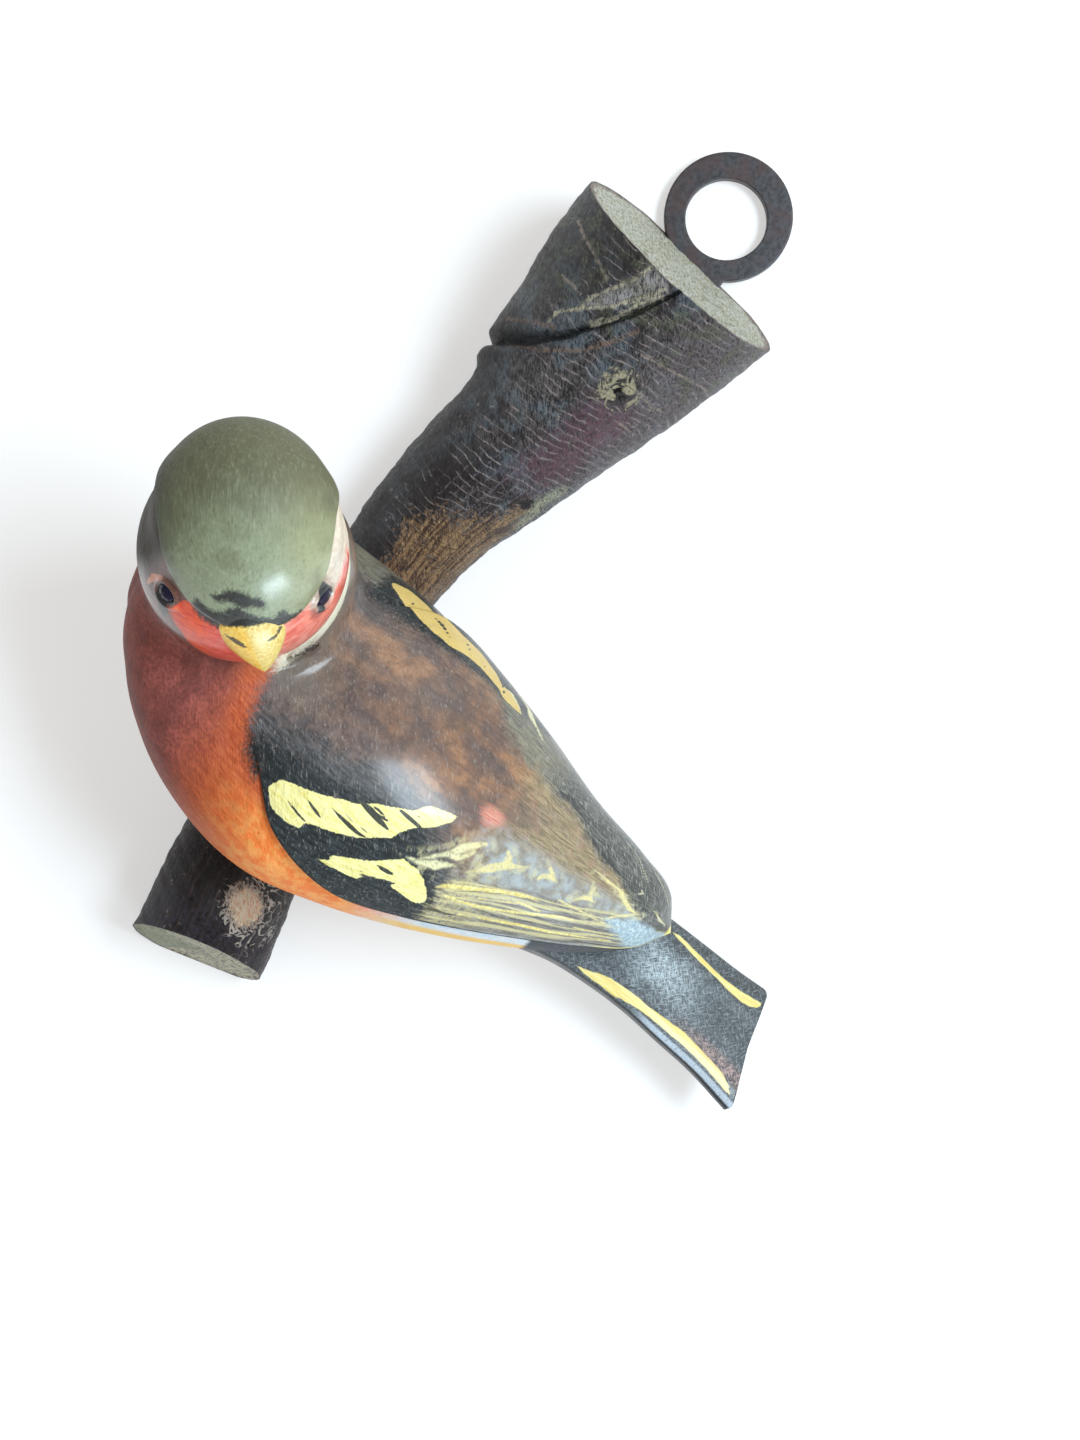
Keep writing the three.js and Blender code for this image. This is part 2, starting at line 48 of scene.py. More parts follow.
# rows of (place, value, value ...) read at any places: cubic curves with parabola slopes at the rows
def smoothRows(rows, at):
    rows = np.array(rows, float)
    x, values = rows[:, 0], rows[:, 1:]
    slopes = np.gradient(values, x, axis=0)
    at = np.clip(np.asarray(at, float), x[0], x[-1])
    i = np.clip(np.searchsorted(x, at, side="right") - 1, 0, len(x) - 2)
    h = (x[i + 1] - x[i])[..., None]
    t = (at - x[i])[..., None] / h
    out = (2 * t**3 - 3 * t**2 + 1) * values[i] + (t**3 - 2 * t**2 + t) * h * slopes[i]
    out = out + (3 * t**2 - 2 * t**3) * values[i + 1] + (t**3 - t**2) * h * slopes[i + 1]
    return np.moveaxis(out, -1, 0)


# smooth rise from 0 to 1 between two values: 3 t^2 - 2 t^3
def ramp(value, low, high):
    t = np.clip((value - low) / (high - low), 0, 1)
    return t * t * (3 - 2 * t)


# the larger of two values, rounded over a width
def smoothMax(a, b, width):
    share = np.clip(0.5 + 0.5 * (a - b) / width, 0, 1)
    return a * share + b * (1 - share) + width * share * (1 - share)


# vectors divided by their lengths
def unit(v):
    v = np.asarray(v, float)
    return v / np.linalg.norm(v, axis=-1, keepdims=True)


# size to a power with the sign kept, which squares off a circle's sine
def powerSign(v, power):
    return np.sign(v) * np.abs(v) ** power


# smooth value noise, about -1 to 1, one cell per unit: hashed corner values melted over each cell
def cellNoise(points, seed=0):
    p = np.asarray(points, float)
    base = np.floor(p).astype(np.int64)
    f = p - base
    f = f * f * (3 - 2 * f)
    total = 0
    for corner in range(8):
        step = np.array([corner & 1, (corner >> 1) & 1, corner >> 2])
        c = base + step
        h = c[..., 0] * 374761393 + c[..., 1] * 668265263 + c[..., 2] * 2147483647 + seed * 974711
        h = (h ^ (h >> 13)) * 1274126177
        h = ((h ^ (h >> 16)) & 65535) / 32767.5 - 1
        weight = np.where(step == 1, f, 1 - f).prod(-1)
        total = total + h * weight
    return total


# the sum of noises, each about twice as fine and half as strong as the one before
def layeredNoise(points, layers=4, seed=0):
    p = np.asarray(points, float)
    return sum(cellNoise(p * 2.03**k, seed + k) / 2**k for k in range(layers)) / 1.4


# where a test turns from true to false between two values, by halving
def halving(low, high, steps, stillBefore):
    for step in range(steps):
        half = (low + high) / 2
        before = stillBefore(half)
        low, high = np.where(before, half, low), np.where(before, high, half)
    return low


# far wall of an ellipsoid from a point along unit rays: the larger root of the ray's quadratic
def rayToEllipsoid(origin, rays, centre, axes, radii):
    start = (np.asarray(origin) - centre) @ np.asarray(axes).T / radii
    along = rays @ np.asarray(axes).T / radii
    a = (along * along).sum(-1)
    b = (along * start).sum(-1)
    c = (start * start).sum(-1) - 1
    return (-b + np.sqrt(np.maximum(b * b - a * c, 0))) / a


# distance to a straight stretch in its own plane, and the share of the way along it of the nearest place
def stretchDistance(x, y, start, end):
    ex, ey = end[0] - start[0], end[1] - start[1]
    t = np.clip(((x - start[0]) * ex + (y - start[1]) * ey) / (ex * ex + ey * ey + 1e-12), 0, 1)
    return np.hypot(x - start[0] - t * ex, y - start[1] - t * ey), t


# signed distance to a closed outline: the least distance to its sides, minus where a ray crosses an odd
# number of them
def outlineDistance(x, y, outline):
    pts = np.array(outline, float)
    best = np.full(np.shape(x), 1e9)
    inside = np.zeros(np.shape(x), bool)
    for a, b in zip(pts, np.roll(pts, -1, axis=0)):
        best = np.minimum(best, stretchDistance(x, y, a, b)[0])
        if a[1] != b[1]:
            crosses = ((a[1] > y) != (b[1] > y)) & (x < a[0] + (y - a[1]) * (b[0] - a[0]) / (b[1] - a[1]))
            inside = inside ^ crosses
    return np.where(inside, -best, best)


# signed distance to a line or a brush stroke whose points are (x, y) or (x, y, half width); minus is inside
def strokeDistance(x, y, line):
    pts = [(*point, 0.0)[:3] for point in line]
    best = np.full(np.shape(x), 1e9)
    for a, b in zip(pts[:-1], pts[1:]):
        far, t = stretchDistance(x, y, a, b)
        best = np.minimum(best, far - a[2] - t * (b[2] - a[2]))
    return best


# points with their two coordinates scaled, and any width kept
def scaled(line, first, second):
    return [(point[0] * first, point[1] * second, *point[2:]) for point in line]


# a mesh object from a grid of points: rows run along, columns go round; ends are closed to their middles
def gridObject(name, grid, attributes, closeEnds=True, roundColumns=True):
    rows, columns = grid.shape[:2]
    points = grid.reshape(-1, 3)
    index = np.arange(rows * columns).reshape(rows, columns)
    nextColumn = np.roll(index, -1, axis=1) if roundColumns else None
    if roundColumns:
        a, b, c, d = index[:-1], nextColumn[:-1], nextColumn[1:], index[1:]
    else:
        a, b, c, d = index[:-1, :-1], index[:-1, 1:], index[1:, 1:], index[1:, :-1]
    quads = np.stack([a, b, c, d], -1).reshape(-1, 4)
    loops = [quads.reshape(-1)]
    counts = [np.full(len(quads), 4)]
    if closeEnds:
        ends = np.stack([grid[0].mean(0), grid[-1].mean(0)])
        points = np.concatenate([points, ends])
        first, last = rows * columns, rows * columns + 1
        lowFan = np.stack([np.full(columns, first), np.roll(index[0], -1), index[0]], -1)
        highFan = np.stack([np.full(columns, last), index[-1], np.roll(index[-1], -1)], -1)
        loops += [lowFan.reshape(-1), highFan.reshape(-1)]
        counts += [np.full(columns, 3), np.full(columns, 3)]
    loops = np.concatenate(loops).astype(np.int32)
    counts = np.concatenate(counts)
    starts = np.concatenate([[0], np.cumsum(counts)[:-1]]).astype(np.int32)
    mesh = bpy.data.meshes.new(name)
    mesh.vertices.add(len(points))
    mesh.vertices.foreach_set("co", (points * mm).astype(np.float32).reshape(-1))
    mesh.loops.add(len(loops))
    mesh.loops.foreach_set("vertex_index", loops)
    mesh.polygons.add(len(counts))
    mesh.polygons.foreach_set("loop_start", starts)
    mesh.update(calc_edges=True)
    mesh.polygons.foreach_set("use_smooth", np.ones(len(counts), bool))
    for key, value in attributes.items():
        value = np.asarray(value, float)
        if closeEnds:
            value = np.concatenate([value.reshape(-1), [value[0].mean(), value[-1].mean()]])
        layer = mesh.attributes.new(key, "FLOAT", "POINT")
        layer.data.foreach_set("value", value.reshape(-1).astype(np.float32))
    mesh.validate()
    thing = bpy.data.objects.new(name, mesh)
    bpy.context.scene.collection.objects.link(thing)
    return thing


# gives a surface its material and its place in the library part: its CAD node goes, and it rides on the body
def finishPiece(thing, node, material):
    thing.data.materials.append(material)
    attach(thing, "root")
    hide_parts(node)


# torso: mm along, then half width, back rise, belly drop, sideways place and height of the middle
torso = {
    "rows": [
        (-36.9, 0.0, 0.0, 0.0, 7.7, 38.3), (-35.8, 6.9, 5.2, 6.2, 5.8, 38.3),
        (-33, 12.0, 9.2, 10.5, 3.7, 38.3), (-27, 18.3, 12.4, 15.5, 2.0, 38.0),
        (-18, 24.2, 13.6, 19.5, 0.6, 38.0), (-6, 27.3, 15.5, 21.5, -1.8, 37.5),
        (8, 27.9, 18.0, 20.8, -3.4, 36.7), (22, 24.7, 18.4, 18.0, -3.7, 35.0),
        (36, 20.2, 17.0, 14.5, -3.3, 32.0), (50, 14.6, 13.5, 11.0, -2.4, 27.8),
        (62, 9.9, 9.5, 6.8, -0.3, 23.5), (70, 5.3, 5.8, 3.6, 1.5, 20.0), (74.5, 0.0, 0.0, 0.0, 2.6, 18.0)],
    "roll": 24 * degree,
    "power": 2.25,
    # the wings' edge: mm along, degrees round from the middle of the back; how proud they stand, from where
    "wingEdge": [(-40, 46), (-4, 46), (0, 50), (4, 56), (8, 62), (12, 66), (16, 70), (23.5, 76), (34, 75),
                 (45, 71), (55, 67), (64.5, 64), (74.5, 66)],
    "wingProud": 1.25,
    "wingRise": (-2, 12),
    # the neck's ellipsoid and how far it melts into the torso, then its glue face
    "neckCentre": np.array([-19.3, 11.2, 52.0]),
    "neckRadii": np.array([16.8, 16.8, 20.0]),
    "blend": 6.0,
    "seamPoint": np.array([-19.3, 11.2, 58.0]),
    "seamNormal": unit([0.06, -0.07, 1.0]),
    # X and Z of the line that the breast's planes fan about, and the way out from it to the breast's middle
    "pivot": (-2.0, 66.0),
    "fanReach": 18,
    "fanMiddle": 11.2,
    # height of the belly's flat on its seat, and where along it ends
    "bellyFlat": 17.6,
    "bellyFlatTo": 34,
}


# plain radius of the torso at a place along it and an angle round it, 0 at the middle of the back: a
# squared-off ellipse, (across / width)^p + (up / height)^p = 1, with one height above the middle line and
# another below
def torsoRadius(x, angle):
    width, rise, drop = smoothRows(torso["rows"], x)[:3]
    across, up = np.sin(angle), np.cos(angle)
    height = np.maximum(np.where(up > 0, rise, drop), 1e-3)
    width = np.maximum(width, 1e-3)
    power = torso["power"]
    return (np.abs(across / width) ** power + np.abs(up / height) ** power) ** (-1 / power)


# along, angle and radius of points, measured about the torso's rolled middle line
def torsoPlace(points):
    x = points[..., 0]
    middleY, middleZ = smoothRows(torso["rows"], x)[3:]
    dy, dz = points[..., 1] - middleY, points[..., 2] - middleZ
    c, s = math.cos(torso["roll"]), math.sin(torso["roll"])
    across, up = dy * c - dz * s, dy * s + dz * c
    return x, np.arctan2(across, up), np.hypot(across, up)


# about the distance outside the torso and neck, melted into one: radius less the plain radius over the wall's
# slope, and for the neck the ellipsoid's first-order distance
def bodyField(points):
    x, angle, radius = torsoPlace(points)
    here = torsoRadius(x, angle)
    slope = torsoRadius(x + 0.4, angle) - torsoRadius(x - 0.4, angle)
    outside = (radius - here) / np.sqrt(1 + (slope / 0.8) ** 2)
    beyond = np.maximum(torso["rows"][0][0] - x, x - torso["rows"][-1][0])
    outside = np.where(beyond > 0, np.hypot(radius, beyond), outside)
    q = (points - torso["neckCentre"]) / torso["neckRadii"]
    far = np.linalg.norm(q, axis=-1)
    neck = far * (far - 1) / np.maximum(np.linalg.norm(q / torso["neckRadii"], axis=-1), 1e-6)
    return -smoothMax(-outside, -neck, torso["blend"])


# points of the body's skin: planes stand across the wings and back, then fan forward and up to the neck,
# and in each plane a ray from its middle meets the skin where the field outside turns positive
def skinPoints(turn, x, angle):
    turn, x, angle = np.broadcast_arrays(turn, x, angle)
    fan = ramp(turn / (math.pi / 2), 0, 1)
    pivotX, pivotZ = torso["pivot"]
    middleY, middleZ = smoothRows(torso["rows"], x)[3:]
    startY, startZ = smoothRows(torso["rows"], pivotX)[3:]
    outward = np.stack([-np.sin(turn), 0 * turn, -np.cos(turn)], -1)
    reach = (pivotZ - startZ) * (1 - fan) + torso["fanReach"] * fan
    fanned = np.stack([pivotX + 0 * x, startY * (1 - fan) + torso["fanMiddle"] * fan, pivotZ + 0 * x], -1)
    fanned = fanned + reach[..., None] * outward
    middle = np.where((turn > 0)[..., None], fanned, np.stack([x, middleY, middleZ], -1))
    roll = torso["roll"] * (1 - fan)
    across = np.sin(angle) * np.cos(roll) + np.cos(angle) * np.sin(roll)
    up = np.cos(angle) * np.cos(roll) - np.sin(angle) * np.sin(roll)
    rays = across[..., None] * np.array([0, 1.0, 0]) - up[..., None] * outward
    inside = lambda far: ~(bodyField(middle + far[..., None] * rays) > 0)
    radius = halving(np.zeros(x.shape), np.full(x.shape, 52.0), 22, inside)
    return middle + radius[..., None] * rays, rays


# the body's skin as a grid: rows are planes from the glue face round the breast and back to the tip,
# columns are angles with one on each wing's edge, and the wings stand proud of the flanks by a small step
def bodyGrid(fanRows=112, straightRows=136, columns=344, capRows=6):
    quarter = columns // 4
    pivotX = torso["pivot"][0]
    t = np.linspace(0, 1, straightRows)
    tip = torso["rows"][-1][0] - 0.03
    straight = pivotX + (tip - pivotX) * (0.35 * t + 0.65 * np.sin(t * math.pi / 2))
    x = np.concatenate([np.full(fanRows, pivotX), straight])[:, None]
    edge = smoothRows(torso["wingEdge"], x)[0] * degree
    k = np.linspace(0, 1, quarter)[None, :]
    gap = 0.01
    half = np.concatenate([edge * k, edge + gap + (math.pi - edge - gap) * k], 1)
    angle = np.concatenate([-half[:, :0:-1], half[:, :-1]], 1)
    onWing = np.concatenate([np.ones(quarter), np.zeros(quarter)])
    onWing = np.concatenate([onWing[:0:-1], onWing[:-1]])[None, :]

    def belowSeam(turn):
        points = skinPoints(turn, pivotX, angle[0])[0]
        return ~((points - torso["seamPoint"]) @ torso["seamNormal"] > 0)

    seamTurn = halving(np.full(angle.shape[1], 0.3), np.full(angle.shape[1], 2.1), 18, belowSeam)
    fan = np.concatenate([np.linspace(1, 0, fanRows, endpoint=False), np.zeros(straightRows)])[:, None]
    grid, rays = skinPoints(fan * seamTurn[None, :], x, angle)
    fade = ramp(x, *torso["wingRise"]) * np.clip((torso["rows"][-1][0] - x) / 4, 0, 1)
    grid = grid + (torso["wingProud"] * onWing * fade)[..., None] * rays
    seated = grid[..., 0] < torso["bellyFlatTo"]
    grid[..., 2] = np.where(seated, np.maximum(grid[..., 2], torso["bellyFlat"]), grid[..., 2])
    middle = grid[0].mean(0)
    cap = np.stack([middle + (grid[0] - middle) * k for k in np.linspace(0.05, 1, capRows + 1)[:-1]])
    grid = np.concatenate([cap, grid])
    wing = np.concatenate([np.zeros((capRows, grid.shape[1])), onWing * (x >= torso["wingRise"][0])])
    return grid, wing


# tail: along, half width, half thickness, sideways place, height
tail = {
    "rows": [(44, 11, 4.2, -6.36, 21.5), (52, 10.5, 3.6, -5.84, 18.5), (60, 9.6, 3.1, -5.06, 16),
             (68, 9.4, 2.7, -4.8, 13.8), (76, 9.5, 2.4, -4.89, 12), (84, 9.9, 2.2, -5.4, 10.6),
             (92, 10.3, 2.0, -5.92, 9.6), (99.9, 11.3, 1.85, -6.7, 9)],
    "roll": 20 * degree,
    "power": 4.5,  # how square the section is
    "slant": 0.278,  # mm that the end draws back for a mm across
    "notch": 0.8,  # depth of the notch in the end
    "corner": 1.4,  # radius of the end's corners
    "feathers": 0.12,  # depth of the grooves between the feathers on top
}


# the tail's skin: squared-off ellipses along its length, its end pulled to a slant with a notch and round
# corners; also the share of the half width, the share of the length and whether a place is on top
def tailGrid(rows=200, columns=200):
    x = np.linspace(tail["rows"][0][0], tail["rows"][-1][0], rows)[:, None]
    width, thick, middleY, middleZ = smoothRows(tail["rows"], x)
    share = (x - x[0]) / (x[-1] - x[0])
    turn = np.linspace(0, 2 * math.pi, columns, endpoint=False)[None, :]
    turn = turn + 0.22 * np.sin(2 * turn)
    across = width * powerSign(np.sin(turn), 2 / tail["power"])
    up = thick * powerSign(np.cos(turn), 2 / tail["power"])
    ratio = across / width
    up = up - tail["feathers"] * np.abs(np.sin(ratio * 5.2 + 0.5)) * ramp(share, 0.1, 0.5) * (up > 0)
    pastCorner = np.clip((np.abs(across) - width) / tail["corner"] + 1, 0, 1)
    corner = tail["corner"] * (1 - np.sqrt(1 - pastCorner**2))
    pull = share**3 * (-tail["slant"] * across - tail["notch"] * (1 - np.abs(ratio)) - corner)
    c, s = math.cos(tail["roll"]), math.sin(tail["roll"])
    grid = np.stack([x + pull, middleY + across * c + up * s, middleZ + up * c - across * s], -1)
    caps = [0.985, 0.93]
    ends = [grid[-1].mean(0) + (grid[-1] - grid[-1].mean(0)) * k + [0.15 * (1 - k), 0, 0] for k in caps]
    grid = np.concatenate([grid, np.stack(ends)])
    ratio, share, side = ratio + 0 * x, share + 0 * ratio, np.sign(up) + 0 * x
    return grid[:, ::-1], *[np.concatenate([v, v[-1:], v[-1:]])[:, ::-1] for v in (ratio, share, side)]


# head: an ellipsoid crown melted into a cheek ellipsoid, on the neck's slanting glue line
head = {
    "turn": -50 * degree,
    "bow": 24 * degree,
    "neck": np.array([-19.3, 11.2, 58.0]),
    "crownAt": (-4.6, 1.9, 11.0),
    "crownRadii": np.array([16.7, 14.6, 13.5]) - 0.05,
    "cheekAt": (-1.3, 0.0, 2.5),
    "cheekRadii": np.array([17.4, 16.6, 16.5]) - 0.05,
    "blend": 1.4,
    "beakAt": (8.4, 1.9, 11.8),
    "beakBow": 27 * degree,
    "beakLength": 10.6,
    "beakHalf": (6.2, 4.1),
    "beakTaper": 1.7,
    "beakShift": -0.85,
    "beakLean": 1.85,
    "beakPower": 0.85,
    "beakStart": -0.4,  # share of the length that is sunk in the face
    "ridge": (0.07, 0.35),  # share of the size that it stands up, width in radians
    "mouth": (1.32, 0.18),  # radians up from underneath at the face, and how far it comes down to the tip
    "mouthGroove": (0.045, 0.07),  # share of the size that it is cut in, width in radians
    "eyes": {"left": (11.3, 11.1, 3.5), "right": (8.1, -12.4, 6.6)},
    "eyeRadius": 2.0,
    "eyeProud": 0.9,
    "lid": (0.6, 2.1, 0.5),  # height, radius and width of the raised lid round an eye
    "socket": (0.6, 1.4),  # depth and radius of the hollow under a bead
    # lower edge of the green cap: degrees round from the beak (left is plus), degrees up
    "capEdge": [(-180, -25), (-152, 0), (-128, 32), (-105, 45), (-71, 43), (-40, 36), (-20, 31), (-6, 27),
                (5, 24), (16, 21), (37, 20), (60, 24), (87, 29), (99, 26), (112, 12), (128, -8), (150, -22),
                (180, -25)],
    "capStep": 0.35,
}


# forward, left and up of the head at a bow
def headAxes(bow):
    turn = head["turn"]
    forward = np.array([math.cos(bow) * math.cos(turn), math.cos(bow) * math.sin(turn), -math.sin(bow)])
    up = np.array([math.sin(bow) * math.cos(turn), math.sin(bow) * math.sin(turn), math.cos(bow)])
    return np.stack([forward, np.cross(up, forward), up])


levelAxes = headAxes(0)
bowedAxes = headAxes(head["bow"])
crownCentre = head["neck"] + np.array(head["crownAt"]) @ levelAxes
cheekCentre = head["neck"] + np.array(head["cheekAt"]) @ levelAxes
headCentre = (crownCentre + cheekCentre) / 2


# the head's radius along rays from its centre: the larger of the two ellipsoids', rounded where they cross
def headRadius(rays):
    crown = rayToEllipsoid(headCentre, rays, crownCentre, bowedAxes, head["crownRadii"])
    cheek = rayToEllipsoid(headCentre, rays, cheekCentre, levelAxes, head["cheekRadii"])
    return smoothMax(crown, cheek, head["blend"])


# centre of an eye's bead and the ray to it
def eyeSeat(side):
    ray = unit(crownCentre + np.array(head["eyes"][side]) @ bowedAxes - headCentre)
    return headCentre + ray * (headRadius(ray) + head["eyeProud"] - head["eyeRadius"]), ray


# the head's skin: rows of polar angle from the crown down to the glue face, pushed out round each eye by a
# lid, in under its bead, and out along the cap's edge by a step of paint
def headGrid(rows=190, columns=320, capRows=10):
    normal = torso["seamNormal"]
    floorPoint = torso["seamPoint"] + normal * 0.3
    forward = unit(np.cross([0, 1.0, 0], normal))
    aside = np.cross(normal, forward)
    turn = np.linspace(0, 2 * math.pi, columns, endpoint=False)
    flat = np.cos(turn)[:, None] * forward + np.sin(turn)[:, None] * aside
    raysAt = lambda polar: np.cos(polar)[..., None] * normal + np.sin(polar)[..., None] * flat

    def aboveFloor(polar):
        rays = raysAt(polar)
        return (headCentre + headRadius(rays)[:, None] * rays - floorPoint) @ normal > 0

    floorPolar = halving(np.full(columns, 0.3), np.full(columns, math.pi - 0.05), 30, aboveFloor)
    share = np.linspace(0, 1, rows)[:, None]
    rays = raysAt(floorPolar[None, :] * (0.012 + 0.988 * share))
    grid = headCentre + headRadius(rays)[..., None] * rays
    push = 0
    rise, lidRadius, lidWidth = head["lid"]
    depth, socketRadius = head["socket"]
    for side in ("left", "right"):
        ray = eyeSeat(side)[1]
        far = np.linalg.norm(grid - (headCentre + ray * headRadius(ray)), axis=-1)
        push = push + rise * np.exp(-((far - lidRadius) / lidWidth) ** 2)
        push = push - depth * np.exp(-(far / socketRadius) ** 4)
    above = capHeight(grid)[0]
    push = push + head["capStep"] * (ramp(above, -0.1, 0.55) - ramp(above, 0.6, 7.0))
    grid = grid + push[..., None] * rays * ramp(share, 1, 0.95)[..., None]
    rim = grid[-1]
    middle = rim.mean(0)
    cap = [middle + (rim - middle) * k for k in np.linspace(1, 0.05, capRows)[1:]]
    return np.concatenate([grid, np.stack(cap)])[:, ::-1]


# height above the cap's edge in mm, then degrees round from the beak and degrees up
def capHeight(points):
    v = (points - headCentre) @ levelAxes.T
    around = np.degrees(np.arctan2(v[..., 1], v[..., 0]))
    up = np.degrees(np.arctan2(v[..., 2], np.hypot(v[..., 0], v[..., 1])))
    edge = smoothRows(head["capEdge"], around)[0]
    return (up - edge) * degree * np.linalg.norm(v, axis=-1) * 0.85, around, up


# the beak: ellipses along its axis that shrink as (1 - share^taper)^0.85, with a low ridge on top and a
# groove where the mouth runs; also the share of the length, the turn and the distance round from the mouth
def beakGrid(rows=90, columns=96):
    axes = headAxes(head["beakBow"])
    base = head["neck"] + np.array(head["beakAt"]) @ levelAxes
    share = np.linspace(head["beakStart"], 1, rows)[:, None]
    size = np.maximum(1 - np.maximum(share, 0) ** head["beakTaper"], 0.002) ** head["beakPower"]
    turn = np.linspace(0, 2 * math.pi, columns, endpoint=False)[None, :]
    turn = turn + 0 * share
    halfWidth, halfHeight = head["beakHalf"]
    rise, width = head["ridge"]
    ridge = 1 + rise * (np.exp(-(turn / width) ** 2) + np.exp(-((turn - 2 * math.pi) / width) ** 2))
    atFace, toTip = head["mouth"]
    mouth = np.abs(turn - math.pi) - atFace + toTip * share
    depth, width = head["mouthGroove"]
    groove = 1 - depth * np.exp(-(mouth / width) ** 2)
    across = halfWidth * size * np.sin(turn) * groove + head["beakShift"] + head["beakLean"] * share
    up = halfHeight * size * np.cos(turn) * ridge * groove
    ahead = head["beakLength"] * share
    grid = base + ahead[..., None] * axes[0] + across[..., None] * axes[1] + up[..., None] * axes[2]
    return grid[:, ::-1], (share + 0 * turn)[:, ::-1], turn[:, ::-1], mouth[:, ::-1]


# branch: its ends along Y, the flat back's share of the half thickness, then rows of share of length, half
# thickness and sideways place of its middle
branch = {
    "low": -55.8, "high": 105.3, "backFlat": 0.8,
    "rows": [(-0.03, 13.09, 9.66), (0, 12.89, 8.97), (0.098, 12.41, 5.72), (0.192, 11.22, 2.36),
             (0.347, 10.21, -2.28), (0.472, 9.9, -5.3), (0.571, 11.31, -4.95), (0.658, 13.4, -2.17),
             (0.721, 14.5, 0.27), (0.77, 16.1, 1.43), (0.82, 18.0, 2.12), (0.894, 20.72, 3.17),
             (0.957, 22, 4.56), (1.02, 22.77, 6.3)],
    # slants of the two cuts: mm along per mm up and per mm across, and where across they start from
    "highBevel": 0.361, "highSkew": -0.13, "highFrom": 4,
    "lowBevel": 0.33, "lowSkew": 0.27, "lowFrom": 8.3,
    "seat": 17.1, "seatFrom": -20, "seatTo": 17,
    "liftedBack": 0.02,  # keeps the skin just over the wall
    # the fold of the old side twig's collar: degrees round, mm along Y
    "fold": [(-150, 68), (-100, 68), (-63, 68.8), (-32, 72), (-13, 76.5), (-4, 80.4), (7, 85.6), (14, 92),
             (30, 112), (150, 150)],
    # mm along Y, turn in radians, mm for a radian, height, radius and, for the ring, its width
    "knotRing": (73.2, 0.47, 15, 0.9, 2.2, 1.1),
    "scarSwell": (-38.5, 0.45, 10, 1.3, 5.5),
    # heights in mm of the bark's bumps, its wrinkles across and the crumpled bark at the fold
    "bumps": 0.35,
    "wrinkles": 0.18,
    "crumple": 0.35,
    # the cuts: heights in mm of the saw's coarse and fine marks, and how far they lie below the bark's rim
    "sawMarks": (0.22, 0.12),
    "cutSunk": 0.15,
}


# distance past the slanting fold of the collar, plus on the twig's side, in mm along Y and degrees round
def collarGap(y, angle):
    return y - smoothRows(branch["fold"], np.degrees(angle))[0]


# slow lift of the bark: a step up along the slanting fold with a groove and a roll before it, a low
# swelling on the left, a ring round the knot and a broad swelling under the scar
def barkLift(share, angle):
    y = branch["low"] + share * (branch["high"] - branch["low"])
    gap = collarGap(y, angle)
    fold = 1.5 * ramp(gap, -0.4, 1.6) * ramp(gap, 14, 3) - 0.7 * np.exp(-(((gap + 0.2) / 0.8) ** 2))
    fold = fold + 0.8 * np.exp(-(((gap + 3.0) / 1.6) ** 2))
    fold = fold * ramp(angle, 0.5, 0.1)
    lift = fold + 0.5 * np.exp(-(((share - 0.757) / 0.02) ** 2) - (((angle + 1.4) / 0.4) ** 2))
    at, turn, scale, rise, radius, width = branch["knotRing"]
    lift = lift + rise * np.exp(-((np.hypot(y - at, (angle - turn) * scale) - radius) / width) ** 2)
    at, turn, scale, rise, radius = branch["scarSwell"]
    return lift + rise * np.exp(-((np.hypot(y - at, (angle - turn) * scale) / radius) ** 4))


onBack = 9.0  # stands for the angle on the flat back


